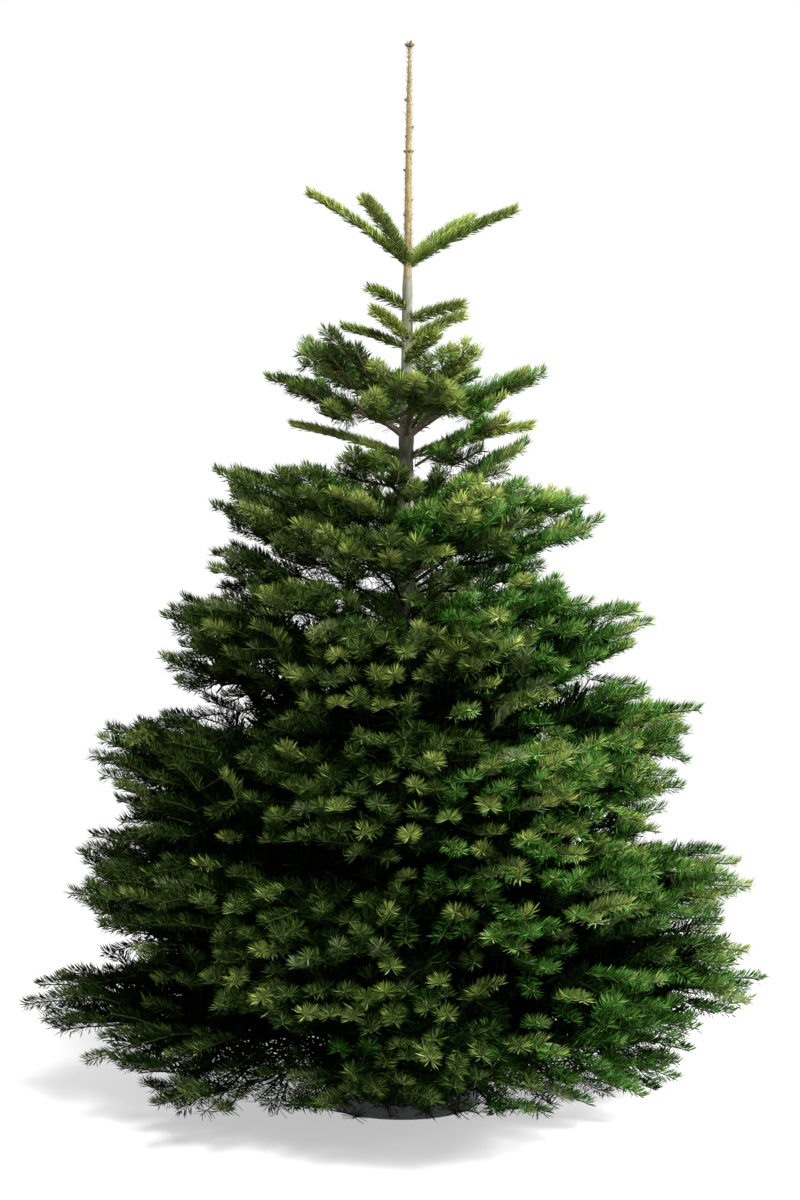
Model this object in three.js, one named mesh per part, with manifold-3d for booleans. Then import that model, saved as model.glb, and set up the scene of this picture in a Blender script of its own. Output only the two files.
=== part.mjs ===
// A cut Christmas tree, a fir of 2 m, standing in a round stand. Millimetres, +Z up, the origin at the
// centre of the stand's flat underside, and -Y the side that the tree is looked at from.
//
// One trunk runs from its flat cut in the stand to the top of the leader. Whorls of boughs leave it, one
// whorl for each year, and each bough ends inside one mass of needles. The youngest shoots have needles
// down to the trunk, so they are masses with no bare bough.
import * as THREE from "three";
import { mergeVertices } from "three/addons/utils/BufferGeometryUtils.js";
import Module from "manifold-3d";

const wasm = await Module();
wasm.setup();

// ---- Driving dimensions ----
const TREE_HEIGHT = 2000;
const SEAT_GAP = 0.3; // between a piece and what carries it
const MASS_GAP = 6; // between two masses, one above the other

const STAND = {
  radius: 148,
  rimHeight: 44,
  shoulder: 10,
  domeHeight: 72,
  collarRadius: 60,
  collarHeight: 122,
  socketRadius: 50,
  floor: 12,
};
const CLAMP = { height: 14, screws: 3, screwRadius: 4, headRadius: 11, headLength: 9, headAt: 74 };

const TRUNK = {
  foot: STAND.floor + SEAT_GAP,
  cutRadius: 37, // at the flare of the cut
  buttRadius: 32,
  leaderFoot: 1581, // where the last whorl and the leader's year begin
  leaderRadius: 7.5,
  tipRadius: 3,
  lean: 14, // of the tip, towards +X
  swell: 4, // of the trunk at each whorl
  sides: 12,
};

const BOUGH = { sides: 6, steps: 2, tipShare: 0.72, intoMass: 14 };

// The whorls, top down. Each has a height on the trunk, the bearing of its first bough, the reach and
// height of its tips, the slope at the trunk, the radius where needles begin, the depth of its masses
// above and below the bough, and the bough's radius at the trunk.
const WHORLS = [
  { name: "w2", at: 1269, turn: 184, reach: 284, tip: 1388, slope: 0.78, bare: 84, up: 50, down: 44, limb: 7.5 },
  { name: "w3", at: 1000, turn: 198, reach: 392, tip: 1148, slope: 0.64, bare: 92, up: 84, down: 92, limb: 9 },
  { name: "w4", at: 762, turn: 170, reach: 494, tip: 925, slope: 0.55, bare: 104, up: 118, down: 128, limb: 10.5 },
  { name: "w5", at: 545, turn: 205, reach: 652, tip: 692, slope: 0.38, bare: 116, up: 132, down: 122, limb: 12 },
  { name: "w6", at: 352, turn: 162, reach: 700, tip: 442, slope: 0.26, bare: 128, up: 112, down: 104, limb: 12.5 },
  { name: "w7", at: 200, turn: 187, reach: 744, tip: 214, slope: 0.15, bare: 150, up: 96, down: 190, limb: 13 },
];
const BOUGHS_EACH = 4;

// Shoots of the last two years: height on the trunk, bearing, reach, height of the tip and half width.
const TOP_SHOOTS = [
  { at: 1586, turn: 190, reach: 196, tip: 1726, half: 24 },
  { at: 1592, turn: 244, reach: 188, tip: 1704, half: 24 },
  { at: 1586, turn: 351, reach: 212, tip: 1694, half: 24 },
  { at: 1592, turn: 48, reach: 196, tip: 1692, half: 24 },
];
const SIDE_SHOOTS = [
  { at: 1506, turn: 204, reach: 86, tip: 1548, half: 18 },
  { at: 1486, turn: 346, reach: 118, tip: 1518, half: 21 },
  { at: 1432, turn: 188, reach: 130, tip: 1474, half: 22 },
  { at: 1228, turn: 172, reach: 226, tip: 1292, half: 62 },
  { at: 1228, turn: 4, reach: 248, tip: 1292, half: 62 },
];
const SHOOT = { up: 19, down: 13, share: 23, sides: 8, rows: 6 };

// A mass: its mesh, how much of its share of the circle it fills, how square its plan and how full its
// section is, how deep the bays between its lobes are, how uneven it is, and how the reaches differ.
const MASS = {
  sides: 16,
  rows: 6,
  fill: 0.94,
  square: 3.4,
  full: 0.62,
  bays: 0.17,
  jitter: 12,
  spread: 0.035,
};
const LOWEST = { outside: 28, overStand: 96, standReach: 190, rampTo: 330, frontLift: 0.19 };

// ---- Materials ----
const bark = () => new THREE.MeshStandardMaterial({ color: 0x6d6453, roughness: 0.9, metalness: 0 });
const needles = () => new THREE.MeshStandardMaterial({ color: 0x2f4a1e, roughness: 0.55, metalness: 0 });
const standPlastic = () => new THREE.MeshStandardMaterial({ color: 0x34363a, roughness: 0.55, metalness: 0 });
const screwSteel = () => new THREE.MeshStandardMaterial({ color: 0x8a8c8f, roughness: 0.4, metalness: 0.8 });

// ---- Small helpers ----
// A number from -1 to 1 that is always the same for the same words.
function scatter(...words) {
  let h = 2166136261;
  for (const c of words.join("/")) h = Math.imul(h ^ c.charCodeAt(0), 16777619);
  h = Math.imul(h ^ (h >>> 15), 2246822519);
  return ((h ^ (h >>> 13)) >>> 0) / 2147483648 - 1;
}

const rad = THREE.MathUtils.degToRad;
const { clamp, lerp, smoothstep } = THREE.MathUtils;

// A closed geometry as a manifold solid.
function solidOf(geometry) {
  const bare = geometry.index ? geometry.toNonIndexed() : geometry.clone();
  const places = new THREE.BufferGeometry().setAttribute("position", bare.getAttribute("position"));
  const merged = mergeVertices(places, 1e-3);
  return new wasm.Manifold(
    new wasm.Mesh({
      numProp: 3,
      vertProperties: new Float32Array(merged.attributes.position.array),
      triVerts: new Uint32Array(merged.index.array),
    }),
  );
}

// A manifold solid as a geometry, keeping only its largest body.
function geometryOf(solid) {
  const bodies = solid.decompose().sort((a, b) => b.volume() - a.volume());
  const mesh = bodies[0].getMesh();
  const places = new Float32Array(mesh.numVert * 3);
  for (let i = 0; i < mesh.numVert; i++)
    places.set(mesh.vertProperties.subarray(i * mesh.numProp, i * mesh.numProp + 3), i * 3);
  const geometry = new THREE.BufferGeometry();
  geometry.setAttribute("position", new THREE.BufferAttribute(places, 3));
  geometry.setIndex(new THREE.BufferAttribute(new Uint32Array(mesh.triVerts), 1));
  geometry.computeVertexNormals();
  return geometry;
}

// Moves each vertex of a geometry to where place(vertex) puts it.
function reshape(geometry, place) {
  const at = geometry.attributes.position;
  const vertex = new THREE.Vector3();
  for (let i = 0; i < at.count; i++) {
    vertex.fromBufferAttribute(at, i);
    place(vertex);
    at.setXYZ(i, vertex.x, vertex.y, vertex.z);
  }
  return geometry;
}

// A turned form about the vertical, from [radius, height] pairs that begin and end on the axis.
function turned(profile, sides) {
  const points = profile.map(([r, z]) => new THREE.Vector2(r, z));
  return new THREE.LatheGeometry(points, sides).rotateX(Math.PI / 2);
}

function named(name, geometry, material) {
  const mesh = new THREE.Mesh(geometry, material);
  mesh.name = name;
  return mesh;
}

// ---- Trunk ----
const leanAt = (z) => TRUNK.lean * (z / TREE_HEIGHT) ** 1.3;

// The trunk's radius: a flare at the cut, an even taper with a swelling at each whorl, then the leader.
function trunkRadius(z) {
  if (z >= TRUNK.leaderFoot) {
    const up = (z - TRUNK.leaderFoot) / (TREE_HEIGHT - TRUNK.leaderFoot);
    return lerp(TRUNK.leaderRadius, TRUNK.tipRadius, up ** 1.4);
  }
  const up = (z - TRUNK.foot) / (TRUNK.leaderFoot - TRUNK.foot);
  const taper = lerp(TRUNK.buttRadius, TRUNK.leaderRadius + 1.5, up ** 0.92);
  const flare = (TRUNK.cutRadius - TRUNK.buttRadius) * Math.exp(-(z - TRUNK.foot) / 40);
  const nodes = [TRUNK.leaderFoot, ...WHORLS.map((w) => w.at)];
  const swell = nodes.reduce((sum, at) => sum + Math.exp(-(((z - at) / 20) ** 2)), 0);
  return taper + flare + TRUNK.swell * swell * (1 - 0.45 * up);
}

function trunkStations() {
  const even = Array.from({ length: 12 }, (_, i) => lerp(TRUNK.foot, TREE_HEIGHT, i / 11));
  const whorls = [TRUNK.leaderFoot, ...WHORLS.map((w) => w.at)].flatMap((at) => [at - 28, at, at + 28]);
  const apart = (z) => whorls.every((other) => Math.abs(other - z) > 30);
  return [...even.filter(apart), ...whorls].sort((a, b) => a - b);
}

// extra makes the jacket that boughs and masses are cut back with.
function trunkGeometry(extra = 0) {
  const foot = TRUNK.foot - extra;
  const top = TREE_HEIGHT + extra;
  const stations = [foot, ...trunkStations().slice(1, -1), top];
  const profile = stations.map((z) => [trunkRadius(clamp(z, TRUNK.foot, TREE_HEIGHT)) + extra, z]);
  return reshape(turned([[0, foot], ...profile, [0, top]], TRUNK.sides), (v) => {
    v.x += leanAt(v.z);
  });
}

const jacket = solidOf(trunkGeometry(SEAT_GAP * 1.2));

// A solid that was made in the frame of an arm, with the trunk's place cut out of it.
function cutRoundTrunk(solid, arm) {
  return solid.subtract(jacket.translate([-leanAt(arm.at), 0, -arm.at]).rotate([0, 0, -arm.turn]));
}

// ---- Boughs and masses, each in the frame of its arm: X outwards, Z up, the origin on the trunk ----
// The height of an arm's axis above its foot, at a distance from the trunk's axis: a parabola that leaves
// at the arm's slope and ends at its tip.
function axisHeight(arm, out) {
  const bend = (arm.tip - arm.at - arm.slope * arm.reach) / arm.reach ** 2;
  return arm.slope * out + bend * out * out;
}

// One tapering limb along the arm's axis, from inside the trunk to just inside the mass. extra makes the
// hole that it leaves in the mass.
function boughGeometry(arm, extra = 0) {
  const profile = Array.from({ length: BOUGH.steps + 1 }, (_, i) => {
    const t = i / BOUGH.steps;
    return [arm.limb * lerp(1, BOUGH.tipShare, t) + extra, t];
  });
  const length = arm.bare + BOUGH.intoMass + extra;
  const points = [[0, 0], ...profile, [0, 1]].map(([r, t]) => new THREE.Vector2(r, t));
  return reshape(new THREE.LatheGeometry(points, BOUGH.sides), (v) => {
    const out = v.y * length;
    const tilt = Math.atan(axisHeight(arm, out + 1) - axisHeight(arm, out));
    v.set(out - v.z * Math.sin(tilt), -v.x, axisHeight(arm, out) + v.z * Math.cos(tilt));
  });
}

// The height that a whorl's masses stay above, at a distance from the trunk, so that the masses of the
// whorl below can stay under it.
function underside(whorl, out) {
  const middle = (whorl.bare + whorl.reach) / 2;
  const offset = clamp(Math.abs(out - middle) / (whorl.reach - middle), 0, 1);
  const depth = whorl.down * depthShare(Math.sqrt(1 - offset * offset));
  const past = Math.max(0, out - whorl.reach);
  return whorl.at + axisHeight(whorl, Math.min(out, whorl.reach)) - depth - 2 * MASS.jitter + 1.5 * past;
}

// How low needles hang: clear of the stand, near the floor further out, and lifted towards the front,
// where the stand shows under them.
function lowestAt(out, forward) {
  const ramp = smoothstep(out, LOWEST.standReach, LOWEST.rampTo);
  return lerp(LOWEST.overStand, LOWEST.outside, ramp) + LOWEST.frontLift * Math.max(0, forward);
}

// The share of its depth that a mass has at a height from 0, on its rim, to 1, at its middle.
const depthShare = (height) => height ** MASS.full;

// One mass of needles round its bough: a wedge of the circle in plan, with a lobed outer edge.
function massGeometry(arm, above) {
  const share = rad(180 / BOUGHS_EACH) * MASS.fill;
  const middle = (arm.bare + arm.reach) / 2;
  const sphere = new THREE.SphereGeometry(1, MASS.sides, MASS.rows).rotateX(Math.PI / 2);
  return reshape(sphere, (v) => {
    const ring = Math.hypot(v.x, v.y);
    const [u, w] = ring > 1e-6 ? [v.x / ring, v.y / ring] : [0, 0];
    const square = ring > 1e-6 ? (Math.abs(u) ** MASS.square + Math.abs(w) ** MASS.square) ** (-1 / MASS.square) : 0;
    const side = Math.round((Math.atan2(w, u) * MASS.sides) / (2 * Math.PI));
    const spot = `${arm.name} ${side}`;
    const depthOfBay = side % 2 ? MASS.bays : MASS.spread * Math.min(1, Math.abs(side));
    const bay = depthOfBay * (1 + 0.5 * scatter(spot, "bay"));
    const out = middle + (arm.reach - middle) * ring * u * square * (u > 0 ? 1 - bay : 1);
    const bearing = share * ring * w * square * (1 - 0.5 * bay);
    const depth = Math.sign(v.z) * depthShare(Math.abs(v.z)) * (v.z > 0 ? arm.up : arm.down);
    const uneven = u < -0.8 ? 0 : MASS.jitter * scatter(spot, v.z.toFixed(2));
    let z = axisHeight(arm, out) + depth + uneven;
    if (above) z = Math.min(z, underside(above, out) - MASS_GAP - arm.at);
    const forward = -out * Math.sin(rad(arm.turn) + bearing);
    z = Math.max(z, lowestAt(out, forward) - arm.at + 3 * (v.z + 1));
    v.set(out * Math.cos(bearing), out * Math.sin(bearing), z);
  });
}

// A young shoot, needles and all: a slim rising body that starts at the trunk.
function shootGeometry(arm) {
  const sphere = new THREE.SphereGeometry(1, SHOOT.sides, SHOOT.rows);
  return reshape(sphere, (v) => {
    const ring = Math.hypot(v.x, v.z);
    const [side, high] = ring > 1e-6 ? [v.x / ring, v.z / ring] : [0, 0];
    const along = Math.acos(clamp(v.y, -1, 1)) / Math.PI;
    const out = arm.reach * along;
    const full = Math.sqrt(Math.min(1, along / 0.25 + 0.15) * Math.min(1, (1 - along) / 0.3));
    const half = Math.min(arm.half * full, out * Math.tan(rad(SHOOT.share)));
    const depth = (high > 0 ? SHOOT.up : SHOOT.down) * full;
    v.set(out, side * half, axisHeight(arm, out) + high * depth);
  });
}

// ---- The stand ----
function standGeometry() {
  const s = STAND;
  return turned(
    [
      [0, 0],
      [s.radius, 0],
      [s.radius, s.rimHeight - s.shoulder],
      [s.radius - s.shoulder * 0.35, s.rimHeight - s.shoulder * 0.3],
      [s.radius - s.shoulder, s.rimHeight],
      [s.radius * 0.78, s.rimHeight + 10],
      [s.collarRadius + 20, s.domeHeight - 8],
      [s.collarRadius + 5, s.domeHeight],
      [s.collarRadius, s.domeHeight + 8],
      [s.collarRadius, s.collarHeight],
      [s.socketRadius, s.collarHeight],
      [s.socketRadius - 3, s.floor],
      [0, s.floor],
    ],
    36,
  );
}

// The ring on the collar with its three screws, whose points bear on the trunk.
function clampGeometry() {
  const base = STAND.collarHeight + SEAT_GAP;
  const inner = STAND.socketRadius - 2;
  const outer = STAND.collarRadius + 3;
  const corners = [[inner, base], [outer, base], [outer, base + CLAMP.height], [inner, base + CLAMP.height]];
  let solid = solidOf(turned([...corners, corners[0]], 24));
  const height = base + CLAMP.height / 2;
  const point = trunkRadius(height) - 3;
  for (let i = 0; i < CLAMP.screws; i++) {
    const length = CLAMP.headAt - point;
    const shank = new THREE.CylinderGeometry(CLAMP.screwRadius, CLAMP.screwRadius, length, 8);
    shank.translate(0, point + length / 2, 0);
    const head = new THREE.CylinderGeometry(CLAMP.headRadius, CLAMP.headRadius, CLAMP.headLength, 10);
    head.translate(0, CLAMP.headAt + CLAMP.headLength / 2 - 1, 0);
    for (const piece of [shank, head])
      solid = solid.add(solidOf(piece).rotate([0, 0, 30 + (i * 360) / CLAMP.screws]).translate([0, 0, height]));
  }
  return geometryOf(solid.subtract(jacket));
}

// ---- The tree ----
// A group whose frame is that of an arm: on the trunk's axis at the arm's height, turned to its bearing.
function armGroup(arm) {
  const group = new THREE.Group();
  group.position.set(leanAt(arm.at), 0, arm.at);
  group.rotation.z = rad(arm.turn);
  return group;
}

// The arms of a whorl, spread evenly, no two with quite the same reach.
function armsOf(whorl) {
  return Array.from({ length: BOUGHS_EACH }, (_, i) => ({
    ...whorl,
    name: `${whorl.name}_${i + 1}`,
    turn: whorl.turn + (i * 360) / BOUGHS_EACH,
    reach: whorl.reach * (1 - MASS.spread * Math.abs(scatter(whorl.name, i, "reach"))),
  }));
}

function whorlGroup(whorl, above) {
  const group = new THREE.Group();
  for (const arm of armsOf(whorl)) {
    const place = armGroup(arm);
    const bough = cutRoundTrunk(solidOf(boughGeometry(arm)), arm);
    const mass = solidOf(massGeometry(arm, above)).subtract(solidOf(boughGeometry(arm, SEAT_GAP)));
    place.add(named(`bough_${arm.name}`, geometryOf(bough), bark()));
    place.add(named(`mass_${arm.name}`, geometryOf(mass), needles()));
    group.add(place);
  }
  return group;
}

function shootGroup(label, shoots) {
  const group = new THREE.Group();
  shoots.forEach((shoot, i) => {
    const arm = { ...shoot, slope: 1.25 * ((shoot.tip - shoot.at) / shoot.reach) };
    const place = armGroup(arm);
    place.add(named(`${label}_${i + 1}`, geometryOf(cutRoundTrunk(solidOf(shootGeometry(arm)), arm)), needles()));
    group.add(place);
  });
  return group;
}

const tree = new THREE.Group();
tree.add(named("stand_base", standGeometry(), standPlastic()));
tree.add(named("stand_clamp", clampGeometry(), screwSteel()));
tree.add(named("trunk", trunkGeometry(), bark()));
tree.add(shootGroup("top_shoot", TOP_SHOOTS));
tree.add(shootGroup("side_shoot", SIDE_SHOOTS));
WHORLS.forEach((whorl, i) => tree.add(whorlGroup(whorl, WHORLS[i - 1])));

export default tree;
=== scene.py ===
"""A cut fir Christmas tree in its stand: bark on its limbs, and twigs, buds and needles grown from them."""

import logging
import math
from collections.abc import Sequence
from dataclasses import dataclass, field
from enum import IntEnum

import bpy
import numpy as np
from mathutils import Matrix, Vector
from mathutils.kdtree import KDTree


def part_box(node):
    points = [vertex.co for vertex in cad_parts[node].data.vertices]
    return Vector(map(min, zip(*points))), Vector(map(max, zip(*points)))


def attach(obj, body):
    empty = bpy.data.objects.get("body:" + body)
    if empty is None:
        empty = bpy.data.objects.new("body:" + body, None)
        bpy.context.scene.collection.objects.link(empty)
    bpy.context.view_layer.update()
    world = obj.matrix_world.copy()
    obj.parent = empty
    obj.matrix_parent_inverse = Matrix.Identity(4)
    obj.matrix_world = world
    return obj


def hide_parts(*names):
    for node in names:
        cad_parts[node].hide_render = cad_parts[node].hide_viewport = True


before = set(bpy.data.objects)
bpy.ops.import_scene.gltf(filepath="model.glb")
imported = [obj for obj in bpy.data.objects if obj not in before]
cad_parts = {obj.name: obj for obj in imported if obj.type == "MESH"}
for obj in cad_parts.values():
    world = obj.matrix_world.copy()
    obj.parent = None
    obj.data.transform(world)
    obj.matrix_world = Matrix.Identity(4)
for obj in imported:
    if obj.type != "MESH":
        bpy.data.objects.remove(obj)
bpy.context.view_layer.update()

log = logging.getLogger("tree")

Vec = np.ndarray
Socket = bpy.types.NodeSocket
Colour = tuple[float, float, float]
Span = tuple[float, float]
Finishes = Sequence[bpy.types.Material]
Table = tuple[tuple[float, ...], tuple[float, ...]]  # the numbers looked up and what each gives

COLOUR_SOCKET = "NodeSocketColor"
NUMBER_SOCKET = "NodeSocketFloat"
BODY = "root"
SEED = 204  # of the branching rule
UP = np.array([0.0, 0.0, 1.0])
FLAT = np.array([1.0, 1.0, 0.0])
WHITE = (1.0, 1.0, 1.0)
GOLDEN_TURN = 2.39996  # radians, from each shoot to the next one up the trunk
TINY = 1e-12


# ---- Small helpers ----


def unit(vectors: Vec) -> Vec:
    """Scales vectors to a length of one."""
    return vectors / np.maximum(np.linalg.norm(vectors, axis=-1, keepdims=True), TINY)


def cad_points(node: str) -> Vec:
    """Reads the places of a CAD node's vertices.

    Args:
        node: The node's name.

    Returns:
        An array with a row for each vertex, in metres.
    """
    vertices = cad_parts[node].data.vertices
    flat = np.empty(len(vertices) * 3)
    vertices.foreach_get("co", flat)
    return flat.reshape(-1, 3)


def smooth_step(low: float, high: float, value: Vec) -> Vec:
    """Rises smoothly from 0 at low to 1 at high."""
    t = np.clip((value - low) / (high - low), 0.0, 1.0)
    return t * t * (3.0 - 2.0 * t)


def planted(points: Vec) -> KDTree:
    """Makes a tree that finds which of some points are near a place.

    Args:
        points: The points.

    Returns:
        The tree.
    """
    tree = KDTree(len(points))
    for number, point in enumerate(points):
        tree.insert(point, number)
    tree.balance()
    return tree


def circles(first: Vec, second: Vec, sides: int) -> Vec:
    """Makes circles of radius one round the origin, each in the plane of its first and second way."""
    turn = np.arange(sides) * 2 * math.pi / sides
    return first[:, None] * np.cos(turn)[None, :, None] + second[:, None] * np.sin(turn)[None, :, None]


def by_number(table: Sequence[float], numbers: Vec) -> Vec:
    """Looks whole numbers up in a table whose last entry stands for all beyond it."""
    return np.array(table)[np.minimum(numbers, len(table) - 1)]


def select_only(pieces: Sequence[bpy.types.Object]) -> None:
    """Selects some objects and nothing else, and makes the first one active.

    Args:
        pieces: The objects.
    """
    bpy.ops.object.select_all(action="DESELECT")
    for piece in pieces:
        piece.select_set(True)
    bpy.context.view_layer.objects.active = pieces[0]


def joined(pieces: Sequence[bpy.types.Object], name: str) -> bpy.types.Object:
    """Joins objects into one.

    Args:
        pieces: The objects.
        name: The new object's name.

    Returns:
        The object.
    """
    select_only(pieces)
    bpy.ops.object.join()
    whole = bpy.context.object
    whole.name = whole.data.name = name
    return whole


# ---- Finishes ----


class NodeGraph:
    """Places and links the nodes of one material or node group."""

    def __init__(self, tree: bpy.types.NodeTree) -> None:
        """Starts from a node tree."""
        self.tree = tree

    def add(self, kind: str, links: dict | None = None, **settings: object) -> bpy.types.Node:
        """Adds a node, sets it up and feeds its inputs.

        Args:
            kind: The node's type, without the leading "ShaderNode".
            links: For each input, by name or number, an output to link or a value to set.
            **settings: Attributes of the node.

        Returns:
            The new node.
        """
        node = self.tree.nodes.new(kind if kind.startswith("Node") else "ShaderNode" + kind)
        for key, value in settings.items():
            setattr(node, key, value)
        for key, value in (links or {}).items():
            self.feed(node, key, value)
        return node

    def feed(self, node: bpy.types.Node, key: str | int, value: object) -> None:
        """Feeds one input of a node.

        Args:
            node: The node.
            key: The input's name or number.
            value: An output to link or a value to set.
        """
        if isinstance(value, bpy.types.NodeSocket):
            self.tree.links.new(value, node.inputs[key])
        else:
            node.inputs[key].default_value = value

    def place(self, stretch: tuple[float, float, float] | None = None) -> Socket:
        """Adds the piece's own coordinates.

        Args:
            stretch: How much finer a pattern gets on each axis, if it isn't the same on all.

        Returns:
            The coordinates.
        """
        place = self.add("TexCoord").outputs["Object"]
        if stretch is None:
            return place
        return self.add("Mapping", {"Vector": place, "Scale": stretch}).outputs["Vector"]

    def upward(self, vector: Socket) -> Socket:
        """Adds a node that gives the upward part of a vector."""
        return self.add("SeparateXYZ", {0: vector}).outputs["Z"]

    def noise(self, place: Socket, scale: object, detail: float, rough: float = 0.5) -> Socket:
        """Adds a noise pattern from 0 to 1, with some finer layers of a given strength."""
        links = {"Vector": place, "Scale": scale, "Detail": detail, "Roughness": rough}
        return self.add("TexNoise", links).outputs["Fac"]

    def remap(self, value: Socket, span: Span, to: Span = (0.0, 1.0), curve: str = "LINEAR") -> Socket:
        """Adds a node that maps a number from one range to another, along a curve."""
        links = dict(zip(("Value", "From Min", "From Max", "To Min", "To Max"), (value, *span, *to)))
        return self.add("MapRange", links, interpolation_type=curve).outputs["Result"]

    def math(self, operation: str, *values: object) -> Socket:
        """Adds a node that works out a number from others."""
        return self.add("Math", dict(enumerate(values)), operation=operation).outputs[0]

    def mix(self, share: object, first: object, second: object, blend: str = "MIX") -> Socket:
        """Adds a node that lays a share of the second colour over the first."""
        links = {0: share, 6: first, 7: second}
        return self.add("Mix", links, data_type="RGBA", blend_type=blend).outputs[2]

    def ramp(self, fac: Socket, stops: Sequence[tuple[float, Colour]]) -> Socket:
        """Adds a colour ramp.

        Args:
            fac: What the ramp is read by.
            stops: Each stop's position and colour.

        Returns:
            The ramp's colour output.
        """
        node = self.add("ValToRGB", {"Fac": fac})
        elements = node.color_ramp.elements
        while len(elements) < len(stops):
            elements.new(0.5)
        for element, (position, colour) in zip(elements, stops):
            element.position = position
            element.color = (*colour, 1.0)
        return node.outputs["Color"]


def new_group(name: str, inputs: dict[str, tuple[str, object]], outputs: dict[str, str]) -> tuple:
    """Makes an empty shader node group with named sockets.

    Args:
        name: The group's name.
        inputs: For each input, its socket type and its default value.
        outputs: For each output, its socket type.

    Returns:
        The group, its graph, its input node and its output node.
    """
    group = bpy.data.node_groups.new(name, "ShaderNodeTree")
    for label, (kind, default) in inputs.items():
        socket = group.interface.new_socket(label, in_out="INPUT", socket_type=kind)
        socket.default_value = default
    for label, kind in outputs.items():
        group.interface.new_socket(label, in_out="OUTPUT", socket_type=kind)
    graph = NodeGraph(group)
    return group, graph, graph.add("NodeGroupInput"), graph.add("NodeGroupOutput")


class SharedEffects:
    """The node groups that several finishes use, each made once."""

    def __init__(self) -> None:
        """Makes the groups."""
        self.bark = self._bark()
        self.dust = self._dust()

    @staticmethod
    def _bark() -> bpy.types.NodeTree:
        """Makes the group for bark: smooth and blotched, with fine cracks and raised pores.

        Returns:
            The group. Its outputs are Color, Roughness and Height.
        """
        inputs = {
            "Ground": (COLOUR_SOCKET, (0.1, 0.09, 0.06, 1.0)),
            "Blotch": (COLOUR_SOCKET, (0.2, 0.19, 0.14, 1.0)),
            "Crack": (COLOUR_SOCKET, (0.03, 0.025, 0.018, 1.0)),
            "Grain": (NUMBER_SOCKET, 60.0),
        }
        outputs = {"Color": COLOUR_SOCKET, "Roughness": NUMBER_SOCKET, "Height": NUMBER_SOCKET}
        group, graph, source, sink = new_group("bark_relief", inputs, outputs)
        squat = graph.place((1.0, 1.0, 0.35))
        grain = source.outputs["Grain"]
        cracks = graph.add("TexVoronoi", {"Vector": squat, "Scale": grain}, feature="DISTANCE_TO_EDGE")
        edge = graph.remap(cracks.outputs["Distance"], (0.0, 0.07))
        patch = graph.remap(graph.noise(squat, grain, 6.0, 0.6), (0.38, 0.66))
        pores = graph.noise(graph.place(), 420.0, 2.0)
        body = graph.mix(patch, source.outputs["Ground"], source.outputs["Blotch"])
        soft_edge = graph.math("POWER", edge, 0.45)
        graph.feed(sink, "Color", graph.mix(soft_edge, source.outputs["Crack"], body))
        graph.feed(sink, "Roughness", graph.remap(patch, (0.0, 1.0), (0.72, 0.92)))
        graph.feed(sink, "Height", graph.math("MULTIPLY_ADD", pores, 0.35, edge))
        return group

    @staticmethod
    def _dust() -> bpy.types.NodeTree:
        """Makes the group for dust that settles on what faces up.

        Returns:
            The group. Its outputs are Color and Mask.
        """
        inputs = {
            "Color": (COLOUR_SOCKET, (0.05, 0.05, 0.05, 1.0)),
            "Dust": (COLOUR_SOCKET, (0.3, 0.28, 0.24, 1.0)),
            "Amount": (NUMBER_SOCKET, 0.3),
        }
        outputs = {"Color": COLOUR_SOCKET, "Mask": NUMBER_SOCKET}
        group, graph, source, sink = new_group("settled_dust", inputs, outputs)
        facing = graph.remap(graph.upward(graph.add("NewGeometry").outputs["Normal"]), (0.1, 0.95))
        specks = graph.remap(graph.noise(graph.place(), 90.0, 8.0, 0.7), (0.35, 0.7))
        mask = graph.math("MULTIPLY", graph.math("MULTIPLY", facing, specks), source.outputs["Amount"])
        graph.feed(sink, "Color", graph.mix(mask, source.outputs["Color"], source.outputs["Dust"]))
        graph.feed(sink, "Mask", mask)
        return group


def new_material(name: str, colour: Colour) -> tuple[bpy.types.Material, NodeGraph, bpy.types.Node]:
    """Makes a material with one Principled shader.

    Args:
        name: The material's name.
        colour: The colour that plain views show.

    Returns:
        The material, its graph and its shader.
    """
    material = bpy.data.materials.new(name)
    material.use_nodes = True
    material.diffuse_color = (*colour, 1.0)
    shader = material.node_tree.nodes["Principled BSDF"]
    shader.inputs["Base Color"].default_value = (*colour, 1.0)
    return material, NodeGraph(material.node_tree), shader


@dataclass(frozen=True)
class PlainFinish:
    """A finish of one colour, for things that are too small to carry a pattern."""

    name: str
    colour: Colour
    roughness: float
    specular: float = 0.4

    def build(self) -> bpy.types.Material:
        """Makes the material.

        Returns:
            The material.
        """
        material, graph, shader = new_material(self.name, self.colour)
        graph.feed(shader, "Roughness", self.roughness)
        graph.feed(shader, "Specular IOR Level", self.specular)
        return material


@dataclass(frozen=True)
class BarkFinish:
    """Bark in three tones."""

    name: str
    ground: Colour
    blotch: Colour
    crack: Colour
    grain: float
    relief: float
    strength: float = 0.8
    specular: float = 0.25

    def build(self, effects: SharedEffects) -> bpy.types.Material:
        """Makes the material.

        Args:
            effects: The shared node groups.

        Returns:
            The material.
        """
        material, graph, shader = new_material(self.name, self.ground)
        bark = graph.add("Group", node_tree=effects.bark)
        for label, value in (("Ground", self.ground), ("Blotch", self.blotch), ("Crack", self.crack)):
            graph.feed(bark, label, (*value, 1.0))
        graph.feed(bark, "Grain", self.grain)
        relief = {"Height": bark.outputs["Height"], "Distance": self.relief, "Strength": self.strength}
        graph.feed(shader, "Base Color", self.shade_and_age(graph, bark.outputs["Color"]))
        graph.feed(shader, "Roughness", bark.outputs["Roughness"])
        graph.feed(shader, "Normal", graph.add("Bump", relief).outputs["Normal"])
        graph.feed(shader, "Specular IOR Level", self.specular)
        return material

    def shade_and_age(self, _: NodeGraph, colour: Socket) -> Socket:
        """Leaves the bark's colour as it is."""
        return colour


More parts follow.
